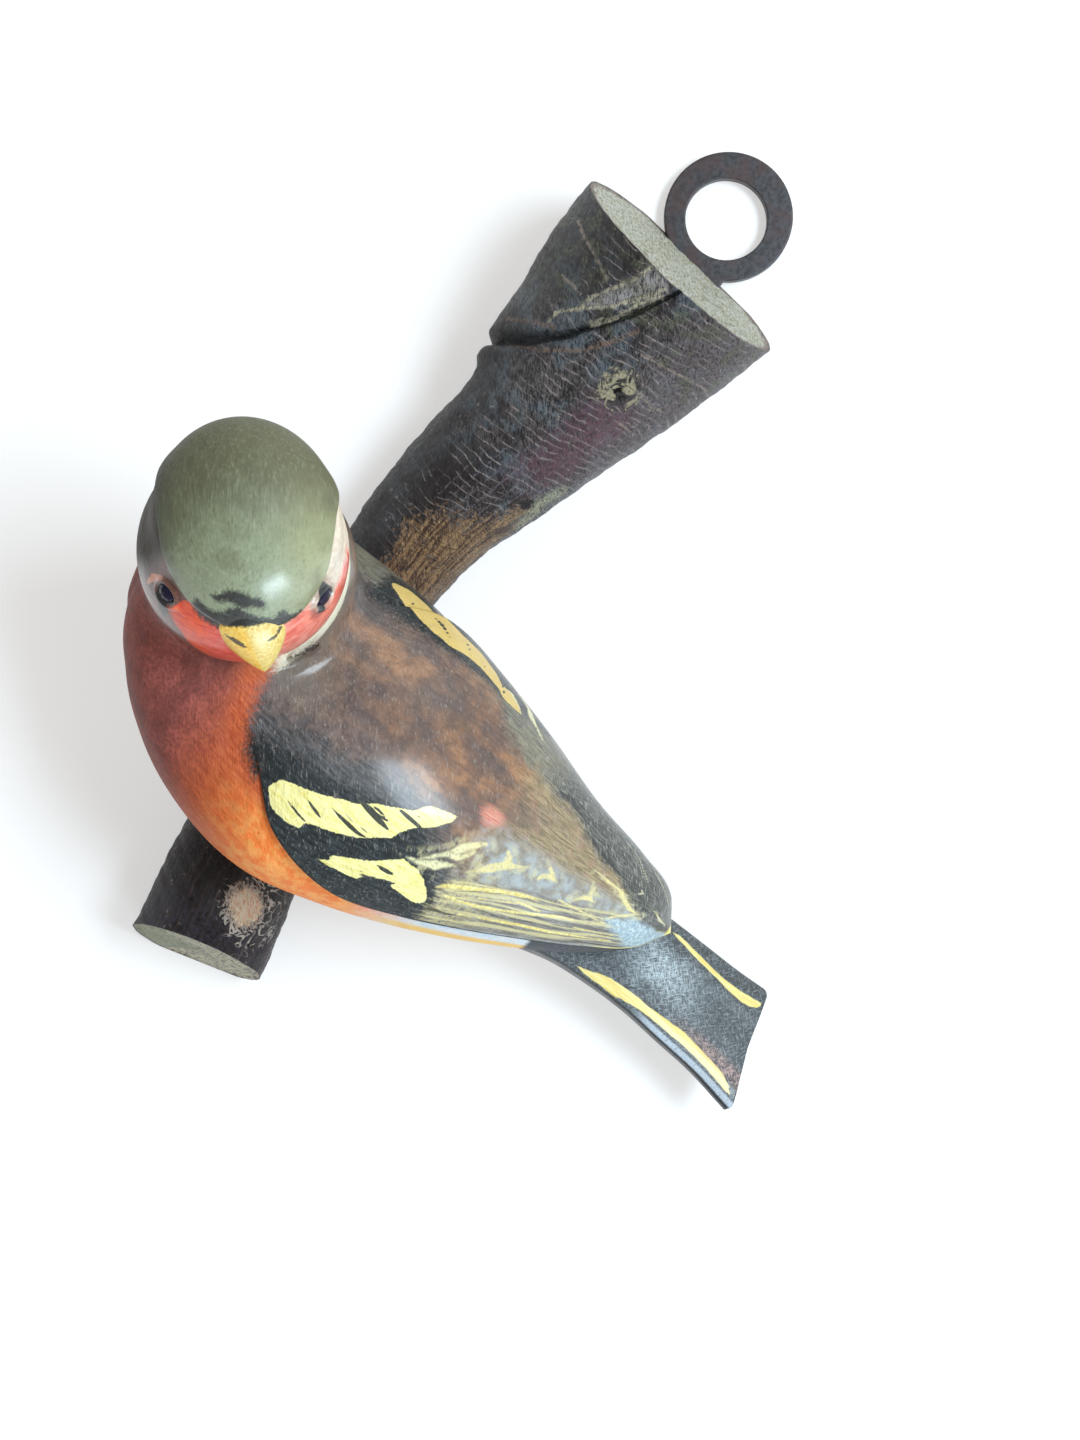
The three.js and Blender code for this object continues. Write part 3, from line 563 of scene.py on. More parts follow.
# the branch's skin: circles cut by the planed back, thickened by the lift and by layered noise stretched
# along the bark's wrinkles, with both ends sawn at a slant; the cuts are rings drawn in to the middle,
# rough by noise
def branchGrid(rows=318, columns=250, backColumns=24, capRows=22):
    low, high, flat = branch["low"], branch["high"], branch["backFlat"]
    widest = math.acos(-flat)
    share = np.linspace(0, 1, rows)[:, None]
    angle = np.linspace(-widest, widest, columns)[None, :]
    y = low + (high - low) * share + 0 * angle
    for step in range(7):
        place = (y - low) / (high - low)
        radius, middleX = smoothRows(branch["rows"], place)
        around = np.stack([angle * 1.6 + 0 * y, y / 11, 0 * y], -1)
        wrinkle = np.stack([angle * 1.1 + 0 * y, (y - 4 * np.sin(angle) ** 2) / 1.5, 3 + 0 * y], -1)
        relief = branch["bumps"] * layeredNoise(around, 4, 5)
        relief = relief + branch["wrinkles"] * layeredNoise(wrinkle, 4, 9)
        near = np.exp(-((collarGap(y, angle) / 5) ** 2)) * ramp(angle, 0.6, 0.1)
        crumple = np.stack([angle * 5 + 0 * y, y / 1.4, 0 * y], -1)
        relief = relief + branch["crumple"] * near * layeredNoise(crumple, 3, 15)
        edge = ramp(widest - np.abs(angle), 0, 0.25)
        thick = radius + (barkLift(place, angle) + relief) * edge
        x = middleX + thick * np.sin(angle)
        z = np.maximum(radius * flat + thick * np.cos(angle), branch["liftedBack"])
        top = high - branch["highBevel"] * z + branch["highSkew"] * (x - branch["highFrom"])
        bottom = low + branch["lowBevel"] * z + branch["lowSkew"] * (x - branch["lowFrom"])
        y = bottom + (top - bottom) * share
    seated = (y > branch["seatFrom"]) & (y < branch["seatTo"])
    z = np.where(seated, np.minimum(z, branch["seat"]), z)
    side = np.stack([x, y, z], -1)
    k = np.linspace(0, 1, backColumns + 2)[1:-1]
    back = side[:, -1:] + (side[:, :1] - side[:, -1:]) * k[None, :, None]
    back[..., 2] = branch["liftedBack"]
    grid = np.concatenate([side, back], 1)
    angles = np.concatenate([angle + 0 * share, np.full((rows, backColumns), onBack)], 1)
    cap = np.zeros(grid.shape[:2])
    shares = np.broadcast_to(place[:, :1], grid.shape[:2]).copy()
    shares[:, :columns] = place

    def endCap(rim, outward, seed):
        middle = rim.mean(0)
        rings, depths = [], []
        radius = np.linalg.norm(rim - middle, axis=-1)
        coarse, fine = branch["sawMarks"]
        for inset in np.linspace(0, 1, capRows + 1)[1:] ** 1.3 * 0.96:
            ring = middle + (rim - middle) * (1 - inset)
            depth = radius * inset
            rough = coarse * layeredNoise(ring / 1.3, 3, seed) + fine * layeredNoise(ring / 0.5, 2, seed + 7)
            height = rough * ramp(depth, 0, 0.6) - branch["cutSunk"] * ramp(depth, 0, 0.8)
            rings.append(ring + outward * height[:, None])
            depths.append(depth)
        return np.stack(rings), np.stack(depths)

    topCap, topDepth = endCap(grid[-1], unit([-branch["highSkew"], 1, branch["highBevel"]]), 21)
    lowCap, lowDepth = endCap(grid[0], unit([branch["lowSkew"], -1, branch["lowBevel"]]), 31)
    lowCap[..., 1] = np.maximum(lowCap[..., 1], grid[0, :, 1].min())
    grid = np.concatenate([lowCap[::-1], grid, topCap])
    grid[..., 2] = np.maximum(grid[..., 2], branch["liftedBack"])
    overCaps = lambda v: np.concatenate([np.repeat(v[:1], capRows, 0), v, np.repeat(v[-1:], capRows, 0)])
    angles, shares = overCaps(angles), overCaps(shares)
    cap = np.concatenate([-lowDepth[::-1], cap, topDepth])
    return grid, shares, angles, cap


print("stage: shapes")


# display colour 0-255 to the linear values that shaders use
def linear(shade):
    return tuple((v / 255 / 12.92) if v <= 10 else ((v / 255 + 0.055) / 1.055) ** 2.4 for v in shade)


# a material and its nodes: each call takes plain values, other nodes' outputs, or names from its paints
class Shader:
    def __init__(self, name, paints=None):
        self.material = bpy.data.materials.new(name)
        self.material.use_nodes = True
        self.tree = self.material.node_tree
        self.tree.nodes.clear()
        self.paints = paints or {}

    def node(self, kind, inputs=None, **settings):
        made = self.tree.nodes.new(kind)
        for key, value in settings.items():
            setattr(made, key, value)
        for key, value in (inputs or {}).items():
            self.put(made.inputs[key], value)
        return made

    def put(self, socket, value):
        if isinstance(value, bpy.types.NodeSocket):
            self.tree.links.new(value, socket)
        elif isinstance(value, tuple) and len(value) == 3 and socket.type == "RGBA":
            socket.default_value = (*value, 1)
        else:
            socket.default_value = value

    def attribute(self, name):
        return self.node("ShaderNodeAttribute", attribute_name=name).outputs["Fac"]

    # a place turned about Z and stretched
    def mapped(self, vector, scale, turn=0.0):
        inputs = {"Vector": vector, "Scale": scale, "Rotation": (0.0, 0.0, turn)}
        return self.node("ShaderNodeMapping", inputs).outputs[0]

    # place on the object in mm
    def place(self, scale=(1, 1, 1)):
        where = self.node("ShaderNodeTexCoord").outputs["Object"]
        return self.mapped(where, tuple(s / mm for s in scale))

    # place turned to the painter's strokes, which run across the back
    def strokePlace(self, scale):
        return self.mapped(self.mapped(self.place(), (1, 1, 1), -cameraTurn), scale)

    def noise(self, vector, scale=1.0, detail=4, rough=0.55, distortion=0.0):
        inputs = {"Vector": vector, "Scale": scale, "Detail": detail}
        inputs.update({"Roughness": rough, "Distortion": distortion})
        return self.node("ShaderNodeTexNoise", inputs).outputs["Fac"]

    def math(self, operation, a, b=0.0):
        made = self.node("ShaderNodeMath", operation=operation)
        self.put(made.inputs[0], a)
        self.put(made.inputs[1], b)
        return made.outputs[0]

    def add(self, a, b):
        return self.math("ADD", a, b)

    def times(self, first, *others):
        for other in others:
            first = self.math("MULTIPLY", first, other)
        return first

    def most(self, first, *others):
        for other in others:
            first = self.math("MAXIMUM", first, other)
        return first

    def size(self, value):
        return self.math("ABSOLUTE", value)

    # a value made uneven by so much of a noise, whose middle is 0.5
    def uneven(self, value, noise, amount):
        return self.add(value, self.times(self.add(noise, -0.5), amount))

    # smooth rise or fall from one value to another between two places
    def band(self, value, low, high, toLow=0.0, toHigh=1.0):
        inputs = {"Value": value, "From Min": low, "From Max": high, "To Min": toLow, "To Max": toHigh}
        return self.node("ShaderNodeMapRange", inputs, interpolation_type="SMOOTHSTEP").outputs[0]

    def mix(self, factor, a, b):
        made = self.node("ShaderNodeMix", data_type="RGBA")
        for place, value in ((0, factor), (6, a), (7, b)):
            self.put(made.inputs[place], linear(self.paints[value]) if isinstance(value, str) else value)
        return made.outputs[2]

    # a paint of two tones, shared out by a noise between two of its values
    def pair(self, name, noise, low, high, least=0.0, most=1.0):
        first, second = self.paints[name]
        return self.mix(self.band(noise, low, high, least, most), linear(first), linear(second))

    # a paint, by name or made before, laid over another
    def over(self, under, amount, paint):
        return self.mix(amount, under, paint)

    def xyz(self, x, y, z=0.0):
        return self.node("ShaderNodeCombineXYZ", {"X": x, "Y": y, "Z": z}).outputs[0]

    # noise on a piece's own two directions, each with its own fineness
    def skinNoise(self, u, v, detail=4, rough=0.55, z=0.0, distortion=0.0):
        return self.noise(self.xyz(self.times(*u), self.times(*v), z), 1.0, detail, rough, distortion)

    def bump(self, height, strength, distance, normal=None):
        inputs = {"Height": height, "Strength": strength, "Distance": distance}
        if normal is not None:
            inputs["Normal"] = normal
        return self.node("ShaderNodeBump", inputs).outputs[0]

    def finish(self, color, roughness, normal=None, **sockets):
        inputs = {"Base Color": color, "Roughness": roughness}
        if normal is not None:
            inputs["Normal"] = normal
        inputs.update({key.replace("_", " "): value for key, value in sockets.items()})
        surface = self.node("ShaderNodeBsdfPrincipled", inputs)
        output = self.node("ShaderNodeOutputMaterial")
        self.tree.links.new(surface.outputs[0], output.inputs[0])
        return self.material


# outlines painted on the body: mm along, degrees round from the middle of the back, minus to the bird's left;
# brush strokes add their half width in mm
plumage = {
    "mmForDegree": 0.42,
    "mantle": [(-6, -16), (-5.5, -30), (-4, -44), (-1.7, -52), (2, -56), (3, -52), (60, -50), (80, 0),
               (60, 50), (44, 78), (8, 86), (-4, 86), (-12, 84), (-18, 74), (-20, 55), (-18, 36), (-12, 22)],
    "bar": [(4.8, -54.2), (5.9, -48.8), (8.5, -46.3), (10.5, -44.8), (13, -42.6), (15.4, -39.8),
            (17.6, -38.3), (20.3, -33.3), (22.7, -30.6), (25.6, -26.9), (27, -21.2), (30.1, -18.7),
            (31.7, -18), (31.5, -21.3), (30.1, -27.2), (28.8, -30), (27.1, -33.2), (25.6, -39.2),
            (25.3, -41.6), (22.5, -46.1), (20.9, -48.7), (18.4, -50.9), (16.9, -52), (14.6, -53.3),
            (13.1, -54.4), (12.7, -57.4), (10.3, -58.3), (7.8, -58.4), (6.4, -57.2)],
    "second": [(17.7, -63.2), (19.4, -62.1), (19.6, -60.7), (19, -60.3), (19.6, -59.1), (22.4, -56.4),
               (25, -53.6), (26.7, -50.5), (28.8, -46.4), (30.5, -47.3), (32, -47.5), (32.5, -49),
               (33.3, -50.1), (34.7, -54.2), (35.6, -58), (35.7, -61.9), (34.3, -63.2), (31.6, -61.1),
               (29.6, -59.6), (30.4, -57.4), (28.2, -58.3), (25.6, -60.7), (24.6, -63.5), (21.9, -63.7),
               (19.4, -63.8)],
    "farBar": [(-1, 65.5), (-0.8, 63.8), (2, 59.6), (6.8, 53), (9.8, 50.8), (13.8, 50.5), (17, 53.5),
               (20.1, 54.2), (24.5, 52.3), (25.7, 49.6), (28.6, 49.7), (29.9, 50.8), (28.7, 54),
               (26.2, 58), (24.5, 56.4), (22.4, 61), (18.5, 64.5), (14, 63), (11, 63.5), (6.3, 68),
               (2.2, 69)],
    "slits": [((8.3, -52.6, 0.06), (9.9, -53, 0.18), (12, -53.9, 0.18), (13.2, -54.2, 0.1)),
              ((10.7, -47.6, 0.04), (11.9, -48.2, 0.2), (13.4, -49.2, 0.24), (14.7, -50.2, 0.08)),
              ((15, -44.6, 0.06), (16.5, -45.4, 0.24), (18.6, -46.3, 0.34), (20.4, -47, 0.3),
               (22.2, -46.9, 0.16)), ((16.5, -43.3, 0.04), (18.9, -44.3, 0.1), (22.1, -44.9, 0.1)),
              ((15.2, -41.4, 0.06), (16.5, -40, 0.12)),
              ((17.4, -36.3, 0.13), (19.8, -36.9, 0.6), (22.1, -38.3, 0.52), (24.2, -39.4, 0.2)),
              ((19.9, -34.1, 0.13), (21.4, -35.3, 0.26), (23.2, -36.6, 0.18)),
              ((23.6, -30, 0.22), (25.6, -30.6, 0.4), (28.1, -31.5, 0.3)),
              ((25.5, -26.8, 0.09), (26.8, -27.9, 0.13)),
              ((23.9, -60.6, 0.08), (25.2, -60.8, 0.24), (27.2, -59.4, 0.16)),
              ((23.2, -58.5, 0.03), (25.1, -59.4, 0.07)),
              ((23.5, -57.4, 0.03), (25.7, -58.4, 0.07), (28, -58, 0.04)),
              ((26, -53.9, 0.12), (27.1, -54.4, 0.38), (28.2, -54.6, 0.32), (29.4, -54.1, 0.12)),
              ((26.6, -52.7, 0.06), (27.7, -52.5, 0.12), (28.8, -52.5, 0.08)),
              ((2.1, 64.6, 0.15), (3.7, 63.5, 0.3), (5.5, 56.3, 0.14)),
              ((8.3, 59, 0.15), (10.6, 57.6, 0.42), (13, 54.2, 0.14)),
              ((15.2, 60.8, 0.3), (16.3, 58.8, 0.25), (17.3, 55.4, 0.12)),
              ((18.9, 59, 0.14), (20.1, 57.5, 0.2), (20.7, 55.3, 0.1)),
              ((24.3, 58, 0.2), (25.3, 53.5, 0.3), (26, 50.5, 0.15))],
    "cream": [((29.2, -45.1, 0.13), (31.1, -44.6, 0.4), (33.4, -42.3, 0.84), (34.8, -39.9, 0.49),
               (35.9, -38.1, 0.13)), ((31, -42.5, 0.09), (32.3, -39.7, 0.31), (33.4, -36.2, 0.18)),
              ((33.3, -37.9, 0.18), (34.6, -32.7, 0.49), (35.6, -28.4, 0.75), (36.8, -24.9, 0.57),
               (38.1, -21.4, 0.18)),
              ((34.7, -35.5, 0.18), (35.9, -34.1, 0.53), (36.7, -31.1, 0.31), (37.4, -27.4, 0.18)),
              ((38.4, -38.2, 0.09), (39.6, -34.7, 0.44), (41.2, -30.5, 0.75), (42.7, -25.7, 0.79),
               (45.3, -21.3, 0.26)), ((42.7, -24.4, 0.57), (42.5, -20.3, 0.49), (41.7, -17.9, 0.13)),
              ((48.4, -23.6, 0.1), (48.9, -20.2, 0.34), (49.9, -17.9, 0.63), (51, -19, 0.34)),
              ((48.6, -11.5, 0.1), (49.7, -14.9, 0.39), (51, -19, 0.29)),
              ((55.4, -26.3, 0.1), (56.4, -22, 0.34), (57.4, -19.1, 0.63), (58.7, -20.3, 0.24)),
              ((57.4, -8.2, 0.1), (57.4, -14.6, 0.34), (58.1, -20.2, 0.29)),
              ((56.4, 2.3, 0.2), (59.1, 0.4, 0.4), (61.6, -0.6, 0.5), (62.7, -5.7, 0.7),
               (64.9, -12.8, 0.6), (66.9, -13.8, 0.15)),
              ((62.2, -29.7, 0.1), (64.5, -21.5, 0.25), (66.4, -14, 0.3)),
              ((53.8, -29.3, 0.2), (58, -30.9, 0.3), (62.3, -34.3, 0.2)),
              ((62.6, -28.1, 0.15), (64.1, -21.9, 0.2), (66.9, -13.2, 0.12)),
              ((69.3, -2.9, 0.12), (70.5, -4.5, 0.22), (72.2, -3.8, 0.12)),
              ((25.1, 56, 0.5), (26.6, 57, 0.8), (28.5, 54, 0.4), (29.7, 50.8, 0.13)),
              ((27.4, 67, 0.3), (29.9, 64.3, 0.6), (32, 56, 0.7), (35.6, 49.1, 0.2))],
    "hairs": [((56.1, 48.3, 0.095), (61.4, 40.4, 0.19), (64.9, 23.7, 0.15)),
              ((57.5, 46, 0.076), (61.5, 35, 0.11), (64, 24, 0.076)),
              ((63.9, 51.3, 0.11), (66.7, 37.8, 0.23), (70, 26.9, 0.15)),
              ((62.3, 53.4, 0.095), (64.3, 40.6, 0.11)),
              ((64.4, 5.5, 0.15), (65.1, 9, 0.27), (64.6, 12, 0.15)),
              ((69.6, -2, 0.19), (70.9, -7.4, 0.57), (72.3, -4.1, 0.19))],
    "streaks": [((35.7, -51, 0.13), (37.2, -48.2, 0.44), (39.9, -45.1, 0.53), (44.5, -39.6, 0.5),
                 (48.9, -35.3, 0.39), (51.1, -35.4, 0.15)),
                ((36.8, -52.7, 0.13), (39.4, -53.9, 0.26), (43.7, -51.8, 0.35), (49.9, -46.4, 0.35),
                 (55.8, -39.9, 0.39), (57.8, -39.3, 0.2)),
                ((41.3, -60.7, 0.18), (44.8, -58.5, 0.26), (49, -56.6, 0.42), (50.9, -55.4, 0.49),
                 (55.8, -54.5, 0.49), (59.6, -53.2, 0.29), (65.5, -51.9, 0.15)),
                ((39.1, -52.5, 0.08), (42.8, -47.4, 0.11), (48.7, -41, 0.26), (52, -41.1, 0.29)),
                ((58.7, -45.4, 0.18), (62.2, -45.1, 0.2), (65.3, -44.6, 0.15))],
    "darks": [((37, -63.3, 0.49), (39.3, -63.4, 0.31), (41.3, -61.8, 0.18)),
              ((38.4, -49.3, 0.07), (42.1, -44, 0.11), (46, -38.8, 0.07)),
              ((33.8, -47.8, 0.26), (35.1, -53.6, 0.35), (36.8, -59.7, 0.4)),
              ((44, -55.6, 0.06), (52, -50.5, 0.1), (60, -47.5, 0.06)),
              ((58.2, -56.8, 0.08), (62.6, -59, 0.22), (67.3, -60.5, 0.2), (69.2, -63, 0.1)),
              ((43, 30, 0.5), (45.5, 33, 1.1), (48, 30, 0.4)),
              ((50.5, 24, 0.2), (53, 19.5, 0.5), (57, 14.5, 0.5), (61, 11, 0.3), (64, 5, 0.2))],
    # the wing tip's blue glaze
    "glaze": [(62.6, -31), (66.3, -18.1), (68.5, -22), (71, -26), (73.5, -34), (73.9, -55), (72, -62),
              (69.6, -63.3), (65.9, -43.5)],
    # the blue-black round the bars on both wings
    "black": [(3, -58), (-1.6, -54), (-0.8, -44), (5.5, -38), (12, -36), (20, -31), (25, -27), (29, -31),
              (31, -38), (33.5, -47), (37.5, -57), (38, -67), (36, -76), (23.4, -79), (16, -73), (8, -66)],
    "farBlack": [(-3, 50), (-2, 72), (10, 80), (24, 82), (36, 78), (36, 58), (27, 50), (20, 49),
                 (12, 46.5), (6, 47)],
    # a worn crack in the neck's glue line and a rosy spot
    "crack": [(-5, -10, 0.06), (-4.1, -5.6, 0.12), (-3.6, -2, 0.2), (-3, 2.2, 0.26), (-2.6, 6, 0.1)],
    "pinkSpot": (36.3, -8),
    # where the brown of the back ends against the dark far wing
    "farEdge": [(10, 56), (20, 53), (26.7, 44.6), (29.3, 36), (33, 31.5), (40, 28.5), (43.7, 27),
                (46.2, 28.5), (49, 25.5), (51.2, 19.9), (53.4, 16.4), (55.5, 12.8), (58.2, 10.8),
                (60.9, 7.5), (62, 3), (65, -11), (68, -18), (76, -24)],
    # top edge of the long wing feathers
    "flightTop": [(30, -58), (35, -49), (45, -37), (56, -30), (65, -22), (74.5, -10)],
}


# distances in mm from places on the body to the painted outlines and strokes
def plumageFields(grid):
    scale = plumage["mmForDegree"]
    along, angle = torsoPlace(grid)[:2]
    turned = np.degrees(angle)
    u, v = along, turned * scale
    flat = lambda line: scaled(line, 1, scale)
    outlines = lambda *keys: np.minimum.reduce([outlineDistance(u, v, flat(plumage[key])) for key in keys])
    strokes = lambda key: np.minimum.reduce([strokeDistance(u, v, flat(line)) for line in plumage[key]])
    edge = -smoothRows(torso["wingEdge"], along)[0]
    top = smoothRows(plumage["flightTop"], along)[0]
    spotX, spotAngle = plumage["pinkSpot"]
    return {
        "along": along, "turned": turned, "below": -(grid - torso["seamPoint"]) @ torso["seamNormal"],
        "mantle": outlines("mantle"), "bars": outlines("bar", "second", "farBar"),
        "black": outlines("black", "farBlack"), "glaze": outlines("glaze"),
        **{key: strokes(key) for key in ("slits", "cream", "hairs", "streaks", "darks")},
        "crack": strokeDistance(u, v, flat(plumage["crack"])),
        "pink": np.hypot(u - spotX, v - spotAngle * scale),
        "farGap": (turned - smoothRows(plumage["farEdge"], along)[0]) * scale,
        "lane": np.clip((turned - edge) / (top - edge), -1, 2),
        "edgeGap": (np.abs(turned) + edge) * -scale,
    }


print("stage: plumage")

# paints are display colours 0-255; two of them are the tones that a noise shares out
bodyPaints = {
    "mauve": ((130, 66, 58), (172, 92, 82)),
    "mauveDark": (104, 52, 48),
    "rust": ((172, 70, 34), (206, 104, 58)),
    "belly": ((250, 130, 52), (255, 168, 88)),
    "vent": ((232, 228, 222), (200, 216, 232)),
    "lowStrip": ((240, 188, 98), (240, 206, 128)),
    "tailRoot": ((40, 42, 46), (80, 86, 94)),
    "mantle": ((94, 78, 73), (142, 102, 74)),
    "mantleWarm": (180, 132, 90),
    "mantleDark": (70, 58, 52),
    "mantleBristles": (58, 48, 44),
    "shoulder": ((84, 74, 76), (112, 102, 100)),
    "nape": (110, 102, 92),
    "worn": (222, 214, 190),
    "olive": ((112, 98, 74), (164, 146, 112)),
    "oliveRed": (150, 116, 96),
    "rumpGlaze": ((138, 134, 128), (166, 176, 180)),
    "farWing": ((50, 52, 52), (124, 124, 114)),
    "farWingFront": (138, 132, 110),
    "pinkSpot": ((206, 118, 98), (226, 164, 144)),
    "black": ((20, 26, 27), (58, 66, 70)),
    "slate": ((44, 48, 52), (92, 96, 98)),
    "feathers": ((98, 93, 88), (160, 154, 142)),
    "featherPale": (214, 202, 148),
    "featherDark": (74, 68, 66),
    "featherRoots": (206, 192, 136),
    "tipGlaze": ((140, 164, 178), (192, 208, 214)),
    "yellow": ((226, 212, 118), (246, 238, 168)),
    "yellowFar": (214, 182, 104),
    "gold": ((216, 192, 104), (240, 226, 150)),
    "hatching": (202, 194, 152),
    "cream": ((230, 224, 176), (222, 208, 146)),
    "hairs": (206, 196, 160),
    "darks": (40, 42, 40),
    "slits": ((40, 42, 36), (74, 74, 62)),
    "rim": (228, 212, 128),
    "wingStepShade": (26, 28, 28),
    "crackSides": (128, 104, 90),
    "crack": (34, 28, 26),
    "specks": (214, 205, 190),
    "scratches": (180, 172, 162),
    "scratchesDark": (30, 24, 22),
}

# body paint, in layers over each other: breast mauve to rust to pale vent, the brown mantle in streaky
# patches, slate and blue-black wing, yellow bars where their distance plus a little brush noise is below
# zero, dark slits and long yellow feather strokes the same way
grid, wing = bodyGrid()
s = Shader("bodyPaint", bodyPaints)
along, turned, below = s.attribute("along"), s.attribute("turned"), s.attribute("below")
where = s.place()
fine = s.noise(where, 1.6, 5, 0.6)
brush = s.skinNoise((along, 0.35), (turned, 0.75), 5, 0.62)
patch = s.skinNoise((along, 0.09), (turned, 0.055), 3, 0.5, 4.0)
grain = s.noise(where, 7.0, 3, 0.6)
scratch = s.noise(s.strokePlace((2.6, 0.5, 2.6)), 1.0, 4, 0.7)
mottle = s.noise(where, 0.45, 4, 0.6)
under = s.size(turned)


# how much of a painted mark covers a place: its distance roughened by a noise of so many mm
def mark(key, noise, rough, soft=0.06):
    return s.band(s.uneven(s.attribute(key), noise, rough), soft, -soft)


mauve = s.pair("mauve", fine, 0.3, 0.7)
mauve = s.over(mauve, s.band(s.noise(where, 0.22, 3), 0.42, 0.62, 0, 0.55), "mauveDark")
toRust = s.band(s.uneven(along, fine, 8), -15, -1)
besideMantle = s.times(s.band(s.uneven(s.attribute("mantle"), fine, 3), 7.5, 2.5), s.band(turned, 5, -15))
breast = s.over(mauve, s.most(toRust, besideMantle), s.pair("rust", brush, 0.3, 0.7))
onBelly = s.times(s.band(along, -6, 12), s.band(under, 56, 66))
breast = s.over(breast, onBelly, s.pair("belly", mottle, 0.4, 0.62))
breast = s.over(breast, s.band(s.uneven(along, brush, 10), 24, 38), s.pair("vent", brush, 0.4, 0.6))
lowStrip = s.times(s.band(s.uneven(along, brush, 8), 26, 36), s.band(under, 84, 90))
breast = s.over(breast, lowStrip, s.pair("lowStrip", brush, 0.4, 0.7))
tailRoot = s.band(s.uneven(along, brush, 1.5), 53.6, 54.6)
breast = s.over(breast, tailRoot, s.pair("tailRoot", grain, 0.35, 0.7))

warm = s.add(s.times(patch, 0.85), s.times(mottle, 0.15))
mantle = s.pair("mantle", warm, 0.36, 0.62)
mantle = s.over(mantle, s.band(warm, 0.5, 0.7, 0, 0.8), "mantleWarm")
mantle = s.over(mantle, s.band(mottle, 0.5, 0.34, 0, 0.3), "mantleDark")
mantle = s.over(mantle, s.band(brush, 0.5, 0.3, 0, 0.45), "mantleBristles")
shoulder = s.times(s.band(along, 26, 8), s.band(turned, 0, -26, 0.25, 0.8))
mantle = s.over(mantle, shoulder, s.pair("shoulder", mottle, 0.4, 0.6))
nape = s.times(s.band(below, 7, 1.5), s.band(along, 8, 0), s.band(turned, -34, -14))
mantle = s.over(mantle, s.times(nape, s.band(patch, 0.3, 0.6, 0.4, 0.9)), "nape")
worn = s.times(s.band(s.uneven(below, scratch, 2), 1.4, 0.6), s.band(along, 2, -1), s.band(turned, -26, -14))
mantle = s.over(mantle, worn, "worn")
olive = s.pair("olive", brush, 0.35, 0.65)
olive = s.over(olive, s.band(mottle, 0.5, 0.64, 0, 0.6), "oliveRed")
mantle = s.over(mantle, s.band(s.uneven(along, patch, 20), 34, 46), olive)
onRump = s.times(s.band(s.uneven(along, mottle, 16), 32, 44, 0, 0.85), s.band(turned, -2, -18))
mantle = s.over(mantle, onRump, s.pair("rumpGlaze", mottle, 0.36, 0.66))
farWing = s.pair("farWing", s.most(brush, scratch), 0.45, 0.7)
farWing = s.over(farWing, s.times(s.band(along, 46, 36), s.band(brush, 0.35, 0.65, 0.4, 0.9)), "farWingFront")
mantle = s.over(mantle, s.band(s.uneven(s.attribute("farGap"), mottle, 9), -2.4, 2.2), farWing)
pinkSpot = s.band(s.uneven(s.attribute("pink"), brush, 5), 3.0, 1.0, 0, 0.8)
mantle = s.over(mantle, pinkSpot, s.pair("pinkSpot", brush, 0.4, 0.6))
black = s.attribute("black")
wide = s.times(s.band(s.uneven(black, mottle, 8), 7.5, 1.5, 0, 0.85), s.band(turned, 40, -10, 0.4, 1))
mantle = s.over(mantle, wide, s.pair("slate", brush, 0.4, 0.65))
wingPaint = s.over(mantle, s.band(s.uneven(black, fine, 5), 1.2, -1.2), s.pair("black", brush, 0.4, 0.75))

# long feathers: brush strokes of yellow over grey-brown, with finer streaks at each sixth of the way up
# from the wing's edge, where the fraction of six times that way, shifted by noise, is near a half
lane = s.attribute("lane")
drift = s.add(s.times(lane, 6.0), s.times(s.skinNoise((along, 0.03), (lane, 3.0), 2), 2.6))
streak = s.size(s.add(s.math("FRACT", drift), -0.5))
streak = s.add(streak, s.times(s.skinNoise((along, 0.14), (lane, 16.0), 4), 0.6))
onLane = s.times(s.band(lane, 0.02, 0.1), s.band(lane, 1.12, 0.98))
onLane = s.times(onLane, s.band(s.uneven(along, brush, 5), 35.5, 38))
feathers = s.pair("feathers", brush, 0.35, 0.7)
feathers = s.over(feathers, s.band(streak, 0.56, 0.36, 0, 0.7), "featherPale")
feathers = s.over(feathers, s.band(streak, 0.7, 0.82, 0, 0.6), "featherDark")
feathers = s.over(feathers, s.times(s.band(along, 48, 38), s.band(fine, 0.35, 0.6, 0, 0.7)), "featherRoots")
wingPaint = s.over(wingPaint, onLane, feathers)
wingPaint = s.over(wingPaint, s.times(s.band(along, 66, 68.5), s.band(turned, -34, -22)), farWing)
tip = s.times(mark("glaze", mottle, 6, 1.6), s.band(grain, 0.2, 0.5, 0.5, 0.9))
wingPaint = s.over(wingPaint, tip, s.pair("tipGlaze", fine, 0.4, 0.65))
streaks = s.times(mark("streaks", brush, 1.3, 0.22), s.band(grain, 0.3, 0.45, 0.45, 0.95))
wingPaint = s.over(wingPaint, streaks, s.pair("gold", fine, 0.4, 0.6))
hatch = s.skinNoise((along, 0.5), (turned, 0.12), 4, 0.65)
nearCream = s.times(s.band(s.attribute("cream"), 2.6, 0.3, 0, 0.7), s.band(turned, 20, -6))
wingPaint = s.over(wingPaint, s.times(nearCream, s.band(hatch, 0.48, 0.62)), "hatching")
cream = s.times(mark("cream", hatch, 1.5, 0.3), s.band(fine, 0.32, 0.5, 0.4, 0.9))
wingPaint = s.over(wingPaint, cream, s.pair("cream", along, 34, 40))
wingPaint = s.over(wingPaint, s.times(mark("hairs", brush, 0.15, 0.05), 0.8), "hairs")
wingPaint = s.over(wingPaint, s.times(mark("darks", brush, 0.6, 0.15), 0.85), "darks")
yellow = s.pair("yellow", brush, 0.3, 0.6)
